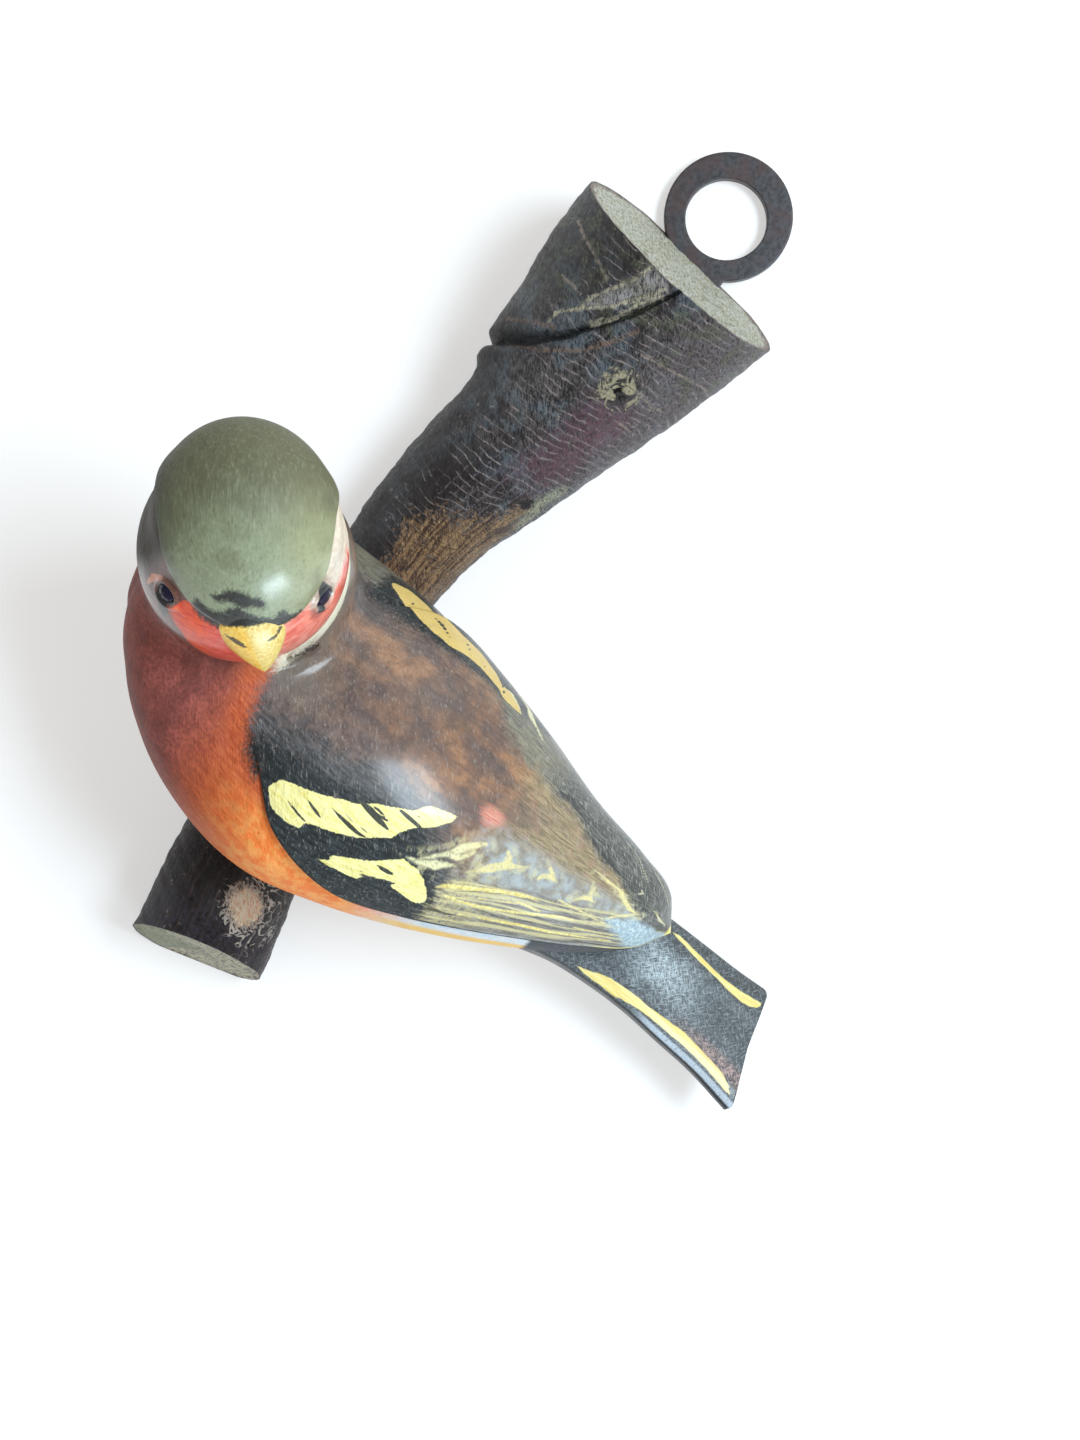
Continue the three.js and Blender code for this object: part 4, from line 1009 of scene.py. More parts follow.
yellow = s.over(yellow, s.band(turned, 10, 30, 0, 0.9), "yellowFar")
wingPaint = s.over(wingPaint, mark("bars", scratch, 0.8), yellow)
wingPaint = s.over(wingPaint, mark("slits", brush, 0.16, 0.04), s.pair("slits", grain, 0.4, 0.6))
edgeGap = s.attribute("edgeGap")
rim = s.times(s.band(s.uneven(edgeGap, brush, 0.7), 0.8, 0.5), s.band(along, 61, 67))
rim = s.most(rim, s.band(s.uneven(along, brush, 1.0), 73.3, 73.8))
wingPaint = s.over(wingPaint, rim, "rim")
# painted shade: a near-black line along the near wing's lower edge, under its carved step
wingStepShade = s.times(s.band(s.uneven(edgeGap, brush, 0.5), 0.6, 0.2), s.band(along, 64, 56))
wingPaint = s.over(wingPaint, s.times(wingStepShade, s.band(turned, 0, -10)), "wingStepShade")

onMantle = s.band(s.uneven(s.attribute("mantle"), fine, 4.5), 1.8, -1.2)
onWing = s.most(onMantle, s.times(s.band(s.attribute("wing"), 0.45, 0.55), s.band(along, -1, 3)))
color = s.over(breast, onWing, wingPaint)
crack = s.attribute("crack")
color = s.over(color, s.band(s.uneven(crack, grain, 0.9), 0.5, 0.1, 0, 0.5), "crackSides")
color = s.over(color, s.times(mark("crack", fine, 1.2), s.band(fine, 0.35, 0.5, 0.4, 1)), "crack")
color = s.over(color, s.band(s.noise(where, 2.6, 2), 0.77, 0.81, 0, 0.5), "specks")
color = s.over(color, s.times(s.band(scratch, 0.54, 0.72, 0, 0.45), onWing), "scratches")
color = s.over(color, s.band(scratch, 0.42, 0.28, 0, 0.35), "scratchesDark")
carved = s.add(s.add(s.times(brush, 0.4), s.times(scratch, 0.8)), s.times(s.noise(where, 0.3, 2), 2.2))
carved = s.add(carved, s.times(s.band(crack, 0.5, -0.1), -3.0))
normal = s.bump(carved, 0.5, 0.0007)
rough = s.add(s.band(fine, 0.3, 0.7, 0.34, 0.46), s.band(turned, -30, -50, 0, 0.2))
shine = s.band(turned, -50, -30, 0.06, 0.6)
material = s.finish(color, rough, normal, IOR=1.38, Coat_Weight=shine, Coat_Roughness=0.18, Coat_IOR=1.4)
body = gridObject("birdBody", grid, {**plumageFields(grid), "wing": wing})
finishPiece(body, "bird_body", material)

tailMarks = {
    # share of the length, place across as a share of the half width (minus is the bird's left)
    "near": [(0.353, -0.89), (0.416, -0.81), (0.476, -0.7), (0.57, -0.67), (0.626, -0.67), (0.7, -0.62),
             (0.773, -0.58), (0.847, -0.62), (0.94, -0.64), (0.975, -0.74), (0.985, -0.82), (0.964, -0.85),
             (0.903, -0.83), (0.836, -0.81), (0.772, -0.81), (0.696, -0.83), (0.641, -0.83), (0.59, -0.88),
             (0.517, -0.95), (0.46, -0.95), (0.399, -0.96)],
    "far": [(0.56, 0.76), (0.589, 0.72), (0.676, 0.64), (0.761, 0.59), (0.839, 0.55), (0.91, 0.53),
            (0.951, 0.56), (0.975, 0.62), (0.99, 0.7), (0.99, 0.76), (0.955, 0.74), (0.89, 0.7),
            (0.81, 0.68), (0.748, 0.71), (0.67, 0.76), (0.593, 0.81)],
    "length": 56,
    "half": 10,
}
tailPaints = {
    "grey": ((54, 59, 62), (130, 137, 140)),
    # painted glare: the pale blue-white over the tail's middle
    "middle": (192, 206, 212),
    "rosy": (196, 160, 152),
    "bevelHighlight": (196, 208, 220),
    "sides": (34, 36, 40),
    "yellow": ((222, 198, 112), (238, 222, 150)),
    "yellowEnd": (226, 200, 140),
    "underside": (44, 46, 50),
}

# tail paint: grey brushed both ways across itself, lighter in its middle as a painted glare, a yellow stripe
# inside each edge where its distance plus brush noise is below zero, a painted pale blue highlight along the
# bevel outside the near one
grid, ratio, share, side = tailGrid()
length, half = tailMarks["length"], tailMarks["half"]
stripe = lambda key: outlineDistance(share * length, ratio * half, scaled(tailMarks[key], length, half))
s = Shader("tailPaint", tailPaints)
ratioIn, shareIn, sideIn = s.attribute("ratio"), s.attribute("share"), s.attribute("side")
where = s.place()
grain = s.noise(where, 6.0, 3, 0.6)
mottle = s.noise(where, 0.35, 3, 0.6)
down, across = s.times(shareIn, length), s.times(ratioIn, half)
slant, counter = s.add(down, across), s.add(down, s.times(across, -1))
strokes = s.most(s.skinNoise((slant, 0.5), (counter, 2.6), 4, 0.65),
                 s.skinNoise((slant, 2.6), (counter, 0.5), 4, 0.65, 7.0))
brush = s.skinNoise((shareIn, 9), (ratioIn, 16), 5, 0.65)
color = s.pair("grey", strokes, 0.48, 0.7)
# painted glare: pale blue-white over the middle of the tail's top
middleGlare = s.times(s.band(s.size(s.uneven(ratioIn, mottle, 0.8)), 0.7, 0.1), s.band(shareIn, 0.42, 0.6))
middleGlare = s.times(middleGlare, s.band(shareIn, 0.86, 0.6), s.band(strokes, 0.4, 0.64, 0.05, 0.8))
color = s.over(color, middleGlare, "middle")
rosy = s.times(s.band(shareIn, 0.68, 0.9), s.band(s.size(s.add(ratioIn, 0.54)), 0.2, 0.06), 0.6)
color = s.over(color, s.times(rosy, s.band(strokes, 0.45, 0.62)), "rosy")
# painted highlight: a pale blue line along the bevel outside the near stripe
bevelHighlight = s.times(s.band(s.size(s.add(ratioIn, 0.92)), 0.07, 0.03), s.band(shareIn, 0.56, 0.68), 0.8)
color = s.over(color, s.times(bevelHighlight, s.band(grain, 0.3, 0.5)), "bevelHighlight")
color = s.over(color, s.band(s.size(ratioIn), 0.955, 0.985), "sides")
near = s.band(s.uneven(s.attribute("near"), brush, 1.1), -0.06, -0.26)
far = s.band(s.uneven(s.attribute("far"), brush, 0.7), -0.02, -0.2)
stripes = s.times(s.most(near, far), s.band(sideIn, 0.1, 0.3))
nearEnd = s.times(s.band(shareIn, 0.72, 0.95), s.band(ratioIn, -0.1, 0.1, 0.7, 0))
yellow = s.over(s.pair("yellow", brush, 0.35, 0.65), nearEnd, "yellowEnd")
color = s.over(color, stripes, yellow)
color = s.over(color, s.band(sideIn, 0.3, 0.1), "underside")
normal = s.bump(s.add(strokes, s.times(grain, 0.5)), 0.45, 0.0005)
rough = s.band(mottle, 0.35, 0.65, 0.28, 0.42)
material = s.finish(color, rough, normal, IOR=1.4, Coat_Weight=0.3, Coat_Roughness=0.2)
tailFields = {"ratio": ratio, "share": share, "side": side, "near": stripe("near"), "far": stripe("far")}
finishPiece(gridObject("birdTail", grid, tailFields), "bird_body", material)

print("stage: head")

faceMarks = {
    # degrees round from the beak (left is plus) and degrees up; brush strokes add their half width in mm
    "brow": [(-36, 36), (-33, 43), (-28, 42), (-23, 39), (-17, 38), (-12, 40), (-5, 44), (1, 44), (5, 40),
             (8, 37), (12, 34), (18, 31), (21, 29), (25, 32), (28, 32), (29, 28), (31, 24), (36, 24),
             (37, 20), (32, 19), (27, 20), (14, 21), (4, 24), (-2, 25), (-10, 24), (-15, 25), (-20, 27),
             (-27, 29), (-32, 32)],
    "dab": [(-22, 50), (-16, 52), (-9, 55), (-3, 56), (4, 55), (12, 50), (18, 48), (20, 44), (18, 40),
            (13, 42), (9, 44), (4, 42), (1, 44), (-5, 48), (-9, 49), (-15, 47), (-19, 48)],
    "band": [(80, -8), (76, -11), (71, -4), (66, -4), (60, -1), (56, 0), (52, 2), (48, 3), (43, 6),
             (40, 11), (39, 17), (34, 19), (26, 24), (0, 32), (-20, 32), (-28, 32), (-37, 36), (-42, 33),
             (-44, 28), (-47, 22), (-48, 17), (-45, 15), (-39, 11), (-35, 8), (-33, 4), (-29, 0),
             (-23, -7), (-18, -11), (-12, -13), (0, -16), (40, -28), (78, -28)],
    "rightEye": [(-59, 31, 0.3), (-55, 24, 1.2), (-51, 14, 1.0), (-48.5, 9, 0.3)],
    "leftEye": [(57, 24, 0.3), (52, 14, 1.5), (44, 7, 0.7)],
    "lid": [(-67, 13, 0.15), (-67, 22, 0.55), (-63, 31, 0.3)],
    "mmForDegree": 0.28,
}
headPaints = {
    "cap": ((126, 132, 104), (146, 155, 126)),
    "capLeftPatinaAndLight": (166, 162, 116),
    "capBackPatinaAndShade": (84, 82, 60),
    "capPatches": (98, 98, 72),
    "capPale": (150, 156, 130),
    "capDark": (70, 70, 52),
    "capRightPatinaAndShade": (44, 50, 46),
    "leftCheek": ((208, 186, 164), (226, 212, 192)),
    "leftBlush": (226, 158, 140),
    "backCheek": ((84, 50, 38), (112, 66, 52)),
    "behindCheek": ((44, 38, 26), (66, 56, 40)),
    "red": ((216, 50, 6), (240, 88, 14)),
    "redInFront": ((206, 62, 48), (220, 96, 84)),
    "coral": ((218, 92, 76), (238, 144, 124)),
    "coralBehind": ((206, 56, 34), (226, 88, 58)),
    "rim": ((240, 150, 92), (222, 212, 186)),
    "lid": (232, 148, 112),
    "ink": ((22, 24, 24), (48, 54, 54)),
    "eyeShade": (118, 74, 62),
    "browInkAndGlints": ((10, 14, 15), (58, 70, 74)),
    "specks": (224, 218, 200),
}

# head paint: olive-green cap, darker at its back and on the bird's right and paler on its left, partly patina
# and partly painted shade and light; a black-blue brow line and dab on its edge, streaked with painted
# highlight; a red to orange band over the cheeks where its distance plus brush noise is below zero, cream
# above the bird's left eye, dark round the eyes, and a painted highlight on the lid of the bird's right eye
grid = headGrid()
above, around, up = capHeight(grid)
scale = faceMarks["mmForDegree"]
narrow = scale * 0.92  # mm for a degree round, at the strokes' height
shape = lambda key: outlineDistance(around * scale, up * scale, scaled(faceMarks[key], scale, scale))
stroke = lambda key: strokeDistance(around * narrow, up * scale, scaled(faceMarks[key], narrow, scale))
beads = np.stack([np.linalg.norm(grid - eyeSeat(side)[0], axis=-1) for side in ("left", "right")])
headFields = {"above": above, "around": around, "up": up, "band": shape("band"),
              "brow": np.minimum(shape("brow"), shape("dab")),
              "eyes": np.minimum(stroke("rightEye"), stroke("leftEye")),
              "lid": stroke("lid"), "eyeGap": beads.min(0),
              "ahead": (grid - headCentre) @ levelAxes[0], "leftward": (grid - headCentre) @ levelAxes[1],
              "below": (grid - torso["seamPoint"]) @ torso["seamNormal"]}
s = Shader("headPaint", headPaints)
ahead, leftward, aboveEdge = s.attribute("ahead"), s.attribute("leftward"), s.attribute("above")
turned, band, eyes = s.attribute("around"), s.attribute("band"), s.attribute("eyes")
where = s.place()
fine = s.noise(where, 1.4, 5, 0.6)
grain = s.noise(where, 6.0, 3, 0.6)
brush = s.skinNoise((turned, 0.1), (s.attribute("up"), 0.35), 5, 0.6)
patch = s.noise(where, 0.16, 3)
scratch = s.noise(s.strokePlace((2.6, 0.4, 2.6)), 1.0, 4, 0.65)
cap = s.pair("cap", fine, 0.3, 0.7, 0.2, 0.8)
# partly patina, partly painted light and shade: the cap paler towards the bird's left, which faces the lamps,
# and darker at its back
cap = s.over(cap, s.band(leftward, 3, 14, 0, 0.5), "capLeftPatinaAndLight")
cap = s.over(cap, s.band(s.uneven(ahead, patch, 16), 6, -9, 0, 0.85), "capBackPatinaAndShade")
cap = s.over(cap, s.band(patch, 0.5, 0.66, 0, 0.5), "capPatches")
cap = s.over(cap, s.band(scratch, 0.5, 0.7, 0, 0.3), "capPale")
cap = s.over(cap, s.band(scratch, 0.45, 0.3, 0, 0.3), "capDark")
# partly patina, partly painted shade: the cap darker low on the bird's right, the side away from the lamps
cap = s.over(cap, s.times(s.band(leftward, -7, -14, 0, 0.75), s.band(aboveEdge, 12, 3)), "capRightPatinaAndShade")
leftCheek = s.pair("leftCheek", fine, 0.35, 0.65)
leftCheek = s.over(leftCheek, s.band(s.uneven(band, brush, 3), 1.6, 0.2), "leftBlush")
backCheek = s.pair("backCheek", fine, 0.35, 0.65)
backCheek = s.over(backCheek, s.band(turned, -66, -80), s.pair("behindCheek", fine, 0.35, 0.65))
cheek = s.over(backCheek, s.band(turned, -10, 25), leftCheek)
red = s.pair("red", brush, 0.35, 0.65)
red = s.over(red, s.band(turned, -30, -12), s.pair("redInFront", brush, 0.35, 0.65))
toBehind = s.band(s.add(turned, s.times(brush, 8)), 52, 64)
coral = s.over(s.pair("coral", brush, 0.35, 0.65), toBehind, s.pair("coralBehind", brush, 0.35, 0.65))
red = s.over(red, s.band(turned, -4, 14), coral)
face = s.over(cheek, s.band(s.uneven(band, fine, 0.9), 0.25, -0.25), red)
rim = s.band(s.uneven(s.attribute("below"), fine, 1.2), 1.3, 0.7, 0, 0.8)
face = s.over(face, rim, s.pair("rim", turned, -20, 30))
# painted highlight: a warm pale mark on the raised lid of the bird's right eye
face = s.over(face, s.band(s.uneven(s.attribute("lid"), fine, 0.6), 0.25, -0.1), "lid")
ink = s.pair("ink", grain, 0.4, 0.7)
face = s.over(face, s.band(s.uneven(eyes, fine, 1.4), 1.6, 0.6, 0, 0.5), "eyeShade")
face = s.over(face, s.band(s.uneven(eyes, fine, 0.5), 0.2, -0.1), ink)
face = s.over(face, s.band(s.attribute("eyeGap"), 2.35, 2.15), ink)
color = s.over(face, s.band(s.uneven(aboveEdge, fine, 0.5), -0.2, 0.1), cap)
# the brow's black-blue, its lighter blue-grey streaks partly brush marks and partly painted highlight
browInkAndGlints = s.pair("browInkAndGlints", s.uneven(brush, scratch, 0.6), 0.54, 0.76)
color = s.over(color, s.band(s.uneven(s.attribute("brow"), scratch, 2.6), 0.7, -0.5, 0, 0.97), browInkAndGlints)
color = s.over(color, s.band(s.noise(where, 2.4, 2), 0.78, 0.81, 0, 0.5), "specks")
waves = s.times(s.noise(where, 0.3, 2), 2.2)
normal = s.bump(s.add(waves, s.add(s.times(fine, 0.3), s.times(scratch, 0.5))), 0.4, 0.0007)
rough = s.add(s.band(fine, 0.3, 0.7, 0.28, 0.38), s.band(ahead, 6, 1, 0, 0.25))
shine = s.band(ahead, 1, 6, 0.04, 1)
material = s.finish(color, rough, normal, IOR=1.4, Coat_Weight=shine, Coat_Roughness=0.22, Coat_IOR=1.45)
finishPiece(gridObject("birdHead", grid, headFields), "bird_head", material)

beakMarks = {
    # share of the length times ten, radians round from the top, half width in mm
    "nostrils": [((2.6, 5.66, 0.1), (3.3, 5.82, 0.34), (4.0, 5.98, 0.3), (4.5, 6.06, 0.08)),
                 ((2.2, 1.02, 0.16), (2.7, 0.94, 0.2)),
                 ((3.2, 0.86, 0.1), (3.6, 0.7, 0.2), (3.8, 0.56, 0.08))],
    "mmForRadian": 4,
}
beakPaints = {
    "bright": ((236, 176, 56), (248, 212, 112)),
    "dull": ((206, 172, 84), (228, 204, 128)),
    "nostrils": (52, 42, 30),
    "mouth": (64, 38, 22),
    "root": (34, 36, 32),
}

# beak paint: ochre yellow, duller on the bird's left, black dabs at the two nostrils, a dark mouth line
grid, share, turn, mouth = beakGrid()
scale = beakMarks["mmForRadian"]
dabs = [strokeDistance(share * 10, turn * scale, scaled(line, 1, scale)) for line in beakMarks["nostrils"]]
s = Shader("beakPaint", beakPaints)
fine = s.noise(s.place(), 2.2, 4, 0.6)
color = s.over(s.pair("bright", fine, 0.35, 0.65), s.band(s.attribute("side"), -0.12, 0.12),
               s.pair("dull", fine, 0.35, 0.65))
color = s.over(color, s.band(s.uneven(s.attribute("nostril"), fine, 0.9), 0.25, 0.0, 0, 0.92), "nostrils")
color = s.over(color, s.band(s.size(s.attribute("mouth")), 0.09, 0.04, 0, 0.85), "mouth")
root = s.band(s.uneven(s.attribute("share"), fine, 0.1), 0.12, 0.06)
color = s.over(color, s.times(root, s.band(s.attribute("upper"), 0.1, 0.3)), "root")
material = s.finish(color, 0.34, s.bump(fine, 0.25, 0.0004), Coat_Weight=0.3, Coat_Roughness=0.2)
beakFields = {"nostril": np.minimum.reduce(dabs), "mouth": mouth, "share": share, "upper": np.cos(turn),
              "side": np.sin(turn)}
finishPiece(gridObject("birdBeak", grid, beakFields), "bird_head", material)

print("stage: branch")

barkMarks = {
    # mm along Y, degrees round from straight up (plus is the bird's tail side)
    "whittled": [(10, 0), (27, -4), (33.4, -8), (38, 8), (40, 30), (44, 50), (49.2, 56), (44, 76), (38, 88),
                 (14, 84)],
    "scar": (-38.5, 26),
    "knot": (72.8, 27),
    "twig": [(53.3, 66), (50.2, 64), (48, 70), (45.8, 77)],
    "hollow": (48.3, 54),
    "lips": [((92.5, -2.8), (87.9, -5.2), (83.9, -11.7), (81.2, -17.1), (79.5, -16.7)),
             ((89.4, 7.3), (85.2, 1.3), (81.7, -6.8), (78.9, -18.4), (76.8, -27), (74.8, -28.4)),
             ((78.2, -8.9), (81.5, -0.9), (85.2, 4.1), (88.5, 9.5))],
    "strip": [(92, -1), (87.9, -4.2), (83.9, -10.7), (80, -17), (82, -6), (85.5, 2), (89.6, 7.5)],
    "ridges": [((68.1, -51.8), (70.2, -23.5), (73.8, -5.3), (78.6, 6.8), (82, 11.8)),
               ((72, -60), (73, -39.7), (74.6, -24.1))],
    "cracks": [((92, -54.3), (88.7, -34.4), (85.5, -15.5)), ((82.5, -39.6), (81.3, -21.7)),
               ((79.3, 19.1), (80.7, 39.1), (83.3, 74.1)), ((68.8, 41.7), (69.4, 63.4)),
               ((74.6, 32.9), (74.5, 51.2), (75.3, 60.7)), ((33, 12), (31, 30), (33, 48))],
    "mmForDegree": 0.24,
}
barkPaints = {
    "skin": ((22, 17, 19), (140, 130, 128)),
    "skinBrown": (44, 34, 36),
    "blueGlints": (130, 142, 150),
    "leftSideShade": (26, 20, 20),
    "aboveFold": (32, 26, 23),
    "middle": (36, 26, 25),
    "rightSideLit": (150, 134, 136),
    "plum": (132, 92, 106),
    "low": ((16, 10, 9), (82, 62, 56)),
    "lowEnd": (74, 64, 84),
    "fibres": (132, 122, 118),
    "shadeBetweenArcs": (16, 13, 16),
    "arcs": (204, 186, 182),
    "net": (150, 140, 150),
    "cracks": (206, 184, 168),
    "fold": (10, 7, 8),
    "strip": (194, 186, 184),
    "lips": (236, 224, 196),
    "ridges": (158, 128, 108),
    "moss": (118, 124, 92),
    "rimPale": (222, 188, 178),
    "rimRed": (112, 68, 80),
    "wood": ((100, 70, 52), (206, 164, 118)),
    "woodPale": (224, 198, 156),
    "woodDark": (42, 27, 22),
    "woodGrey": (70, 52, 50),
    "curls": (226, 212, 200),
    "scarRim": (214, 196, 182),
    "scar": ((238, 168, 118), (255, 234, 206)),
    "knot": (48, 40, 35),
    "knotCurls": (214, 202, 168),
    "knotHoleShade": (16, 12, 10),
    "twig": (206, 206, 172),
    "hollow": (12, 9, 8),
    "scuffs": (190, 178, 170),
    "endGrain": ((190, 186, 142), (255, 255, 242)),
    "growth": (150, 130, 96),
    "cutRim": (130, 92, 84),
    "lowCut": ((112, 94, 66), (255, 240, 206)),
    "lowCutMoss": (150, 160, 118),
}

grid, share, angle, cap = branchGrid()
y = grid[..., 1]
turnedDegrees = np.degrees(np.where(angle == onBack, 3, angle))
scale = barkMarks["mmForDegree"]
v = turnedDegrees * scale
shape = lambda key: outlineDistance(y, v, scaled(barkMarks[key], 1, scale))
spot = lambda key: np.hypot(y - barkMarks[key][0], (turnedDegrees - barkMarks[key][1]) * scale)
gapTo = lambda lines: np.minimum.reduce([strokeDistance(y, v, scaled(line, 1, scale)) for line in lines])
barkFields = {"share": share, "turned": turnedDegrees, "cap": cap, "twig": gapTo([barkMarks["twig"]]),
              "fold": np.where(np.degrees(angle) < 16, collarGap(y, angle), 40),
              "sag": y - 4 * np.sin(np.radians(turnedDegrees)) ** 2,
              **{key: shape(key) for key in ("whittled", "strip")},
              **{key: spot(key) for key in ("scar", "knot", "hollow")},
              **{key: gapTo(barkMarks[key]) for key in ("lips", "ridges", "cracks")}}

# bark paint: blue-black skin in patches of plum and brown, thin pale arcs across it at even steps along,
# broken up by noise, pale curls round the scar and knot where a noise crosses its middle, whittled orange
# wood near the bird, pale fibrous end grain on the two cuts
s = Shader("bark", barkPaints)
where = s.place()
shareIn, turned = s.attribute("share"), s.attribute("turned")
along = s.add(s.times(shareIn, branch["high"] - branch["low"]), branch["low"])
fine = s.noise(where, 1.1, 6, 0.65)
patch = s.noise(where, 0.13, 4, 0.6)
grain = s.noise(where, 5.0, 4, 0.65)
clouds = s.noise(where, 0.3, 3)
fibre = s.skinNoise((turned, 0.28), (along, 0.1), 5, 0.7, 0.0, 0.4)
hair = s.noise(s.strokePlace((3.2, 0.7, 2.0)), 1.0, 5, 0.7, 0.6)
# the pale tone of the bark's hairs is partly its own fibres and partly painted highlight on its bumps
skin = s.pair("skin", s.add(s.times(hair, 0.75), s.times(clouds, 0.25)), 0.42, 0.6)
skin = s.over(skin, s.band(patch, 0.42, 0.58, 0, 0.7), "skinBrown")
# painted highlight: blue-grey glints in patches along the hairs
blueGlints = s.times(s.band(s.noise(where, 0.17, 3), 0.45, 0.6, 0, 0.85), s.band(hair, 0.4, 0.56, 0.12, 0.95))
skin = s.over(skin, blueGlints, "blueGlints")
# painted shade: the bark darker on its side away from the lamps
skin = s.over(skin, s.times(s.band(turned, -24, -62, 0, 0.75), s.band(along, 78, 70)), "leftSideShade")
skin = s.over(skin, s.times(s.band(turned, 8, -16, 0, 0.7), s.band(along, 76, 86)), "aboveFold")
skin = s.over(skin, s.times(s.band(along, 62, 44), s.band(turned, 24, 0, 0, 0.75)), "middle")
# painted light: the bark paler, in pale lines, on its side towards the lamps
rightSideLit = s.times(s.band(turned, 16, 44, 0, 0.6), s.band(along, 50, 60))
skin = s.over(skin, s.times(rightSideLit, s.band(hair, 0.36, 0.54)), "rightSideLit")
plum = s.times(s.band(turned, 8, 24), s.band(turned, 62, 46), s.band(along, 46, 56), s.band(along, 76, 67))
skin = s.over(skin, s.times(plum, s.band(fine, 0.4, 0.6, 0.2, 0.85)), "plum")
low = s.pair("low", fibre, 0.44, 0.7)
low = s.over(low, s.times(s.band(along, -38, -46), s.band(fine, 0.42, 0.62, 0, 0.6)), "lowEnd")
skin = s.over(skin, s.band(along, 4, -12, 0, 0.95), low)
skin = s.over(skin, s.band(fibre, 0.6, 0.7, 0, 0.4), "fibres")

# the arcs: the size of a sine along the branch, its phase sagging round the bark, near zero
sag = s.add(s.attribute("sag"), s.times(s.noise(where, 0.14, 3), 3.4))
wave = s.size(s.math("SINE", s.times(sag, 2.1)))
arcPlaces = s.times(s.band(clouds, 0.4, 0.56), s.band(along, 24, 36), s.band(turned, -44, -8))
arc = s.times(s.band(s.uneven(wave, fine, 0.9), 0.34, 0.08), arcPlaces, s.band(hair, 0.34, 0.5, 0.15, 1))
# painted shade: darker in the low bands between the raised arcs
skin = s.over(skin, s.times(s.band(wave, 0.5, 0.9, 0, 0.3), arcPlaces), "shadeBetweenArcs")
skin = s.over(skin, s.times(arc, 0.85), "arcs")
stepsAcross = s.size(s.math("SINE", s.add(s.times(turned, 0.34), s.times(fine, 3.0))))
netPlaces = s.times(s.band(along, 36, 42), s.band(along, 58, 52), s.band(turned, -20, 0))
net = s.times(s.band(stepsAcross, 0.3, 0.1), netPlaces, s.band(fine, 0.4, 0.6, 0, 0.75))
skin = s.over(skin, net, "net")

# the collar's torn lips, its fold and the lines beside them: distances made uneven by noise, near zero
unevenLine = lambda key, amount: s.uneven(s.attribute(key), fine, amount)
cracks = s.band(unevenLine("cracks", 1.08), 0.35, 0.08, 0, 0.7)
skin = s.over(skin, s.times(cracks, s.band(hair, 0.34, 0.5)), "cracks")
# painted shade: near-black in the crease along the collar's fold
fold = s.times(s.band(s.size(s.add(unevenLine("fold", 1.8), 0.6)), 1.3, 0.4), 0.95)
skin = s.over(skin, fold, "fold")
strip = s.times(s.band(unevenLine("strip", 1.8), 0.9, -0.2), s.band(hair, 0.4, 0.54, 0, 0.9))
skin = s.over(skin, strip, "strip")
lip = s.times(s.band(unevenLine("lips", 1.44), 0.42, 0.1), s.band(hair, 0.4, 0.52, 0.1, 1))
skin = s.over(skin, lip, "lips")
ridge = s.times(s.band(unevenLine("ridges", 1.26), 0.5, 0.1), s.band(hair, 0.4, 0.58, 0, 0.85))
skin = s.over(skin, ridge, "ridges")
moss = s.times(s.band(s.noise(where, 0.35, 3), 0.5, 0.6, 0, 0.85), s.band(along, 74, 82))
skin = s.over(skin, s.times(moss, s.band(grain, 0.42, 0.56), s.band(hair, 0.36, 0.56)), "moss")
rimLines = s.times(s.band(s.add(shareIn, s.times(fine, 0.02)), 0.965, 0.975), s.band(turned, -12, 12))
rimWave = s.skinNoise((turned, 0.03), (along, 0.9), 3)
skin = s.over(skin, s.times(rimLines, s.band(rimWave, 0.42, 0.58, 0, 0.9)), "rimPale")
skin = s.over(skin, s.times(rimLines, s.band(rimWave, 0.46, 0.38, 0, 0.7)), "rimRed")

wood = s.pair("wood", fibre, 0.38, 0.62)
wood = s.over(wood, s.band(hair, 0.52, 0.68, 0, 0.85), "woodPale")
wood = s.over(wood, s.band(hair, 0.45, 0.32, 0, 0.9), "woodDark")
wood = s.over(wood, s.band(clouds, 0.54, 0.66, 0, 0.7), "woodGrey")
bare = s.band(unevenLine("whittled", 18), 1.8, -2.2)
skin = s.over(skin, s.times(bare, s.band(hair, 0.34, 0.5, 0.15, 0.95)), wood)

curls = s.size(s.add(s.noise(where, 0.3, 3, 0.5, 1.0), -0.5))
scar = unevenLine("scar", 4)
nearScar = s.times(s.band(scar, 2.6, 3.6), s.band(s.add(scar, s.times(turned, -0.08)), 6.5, 3.0))
scarCurls = s.times(s.band(curls, 0.035, 0.012), nearScar)
skin = s.over(skin, scarCurls, "curls")
scarRim = s.band(s.size(s.add(scar, -3.7)), 0.9, 0.2)
skin = s.over(skin, s.times(scarRim, s.band(hair, 0.42, 0.56)), "scarRim")
skin = s.over(skin, s.band(scar, 3.6, 2.8), s.pair("scar", hair, 0.34, 0.56))
knot = unevenLine("knot", 7)
skin = s.over(skin, s.band(knot, 3.4, 2.4, 0, 0.7), "knot")
skin = s.over(skin, s.times(s.band(curls, 0.08, 0.02), s.band(knot, 3.5, 2.7)), "knotCurls")
# painted shade: a near-black dab for the knot's hole, which the shape lacks
skin = s.over(skin, s.band(knot, 0.9, 0.5), "knotHoleShade")
twig = s.band(s.uneven(s.attribute("twig"), hair, 7), 2.8, 1.2)
skin = s.over(skin, s.times(twig, s.band(hair, 0.42, 0.55)), "twig")
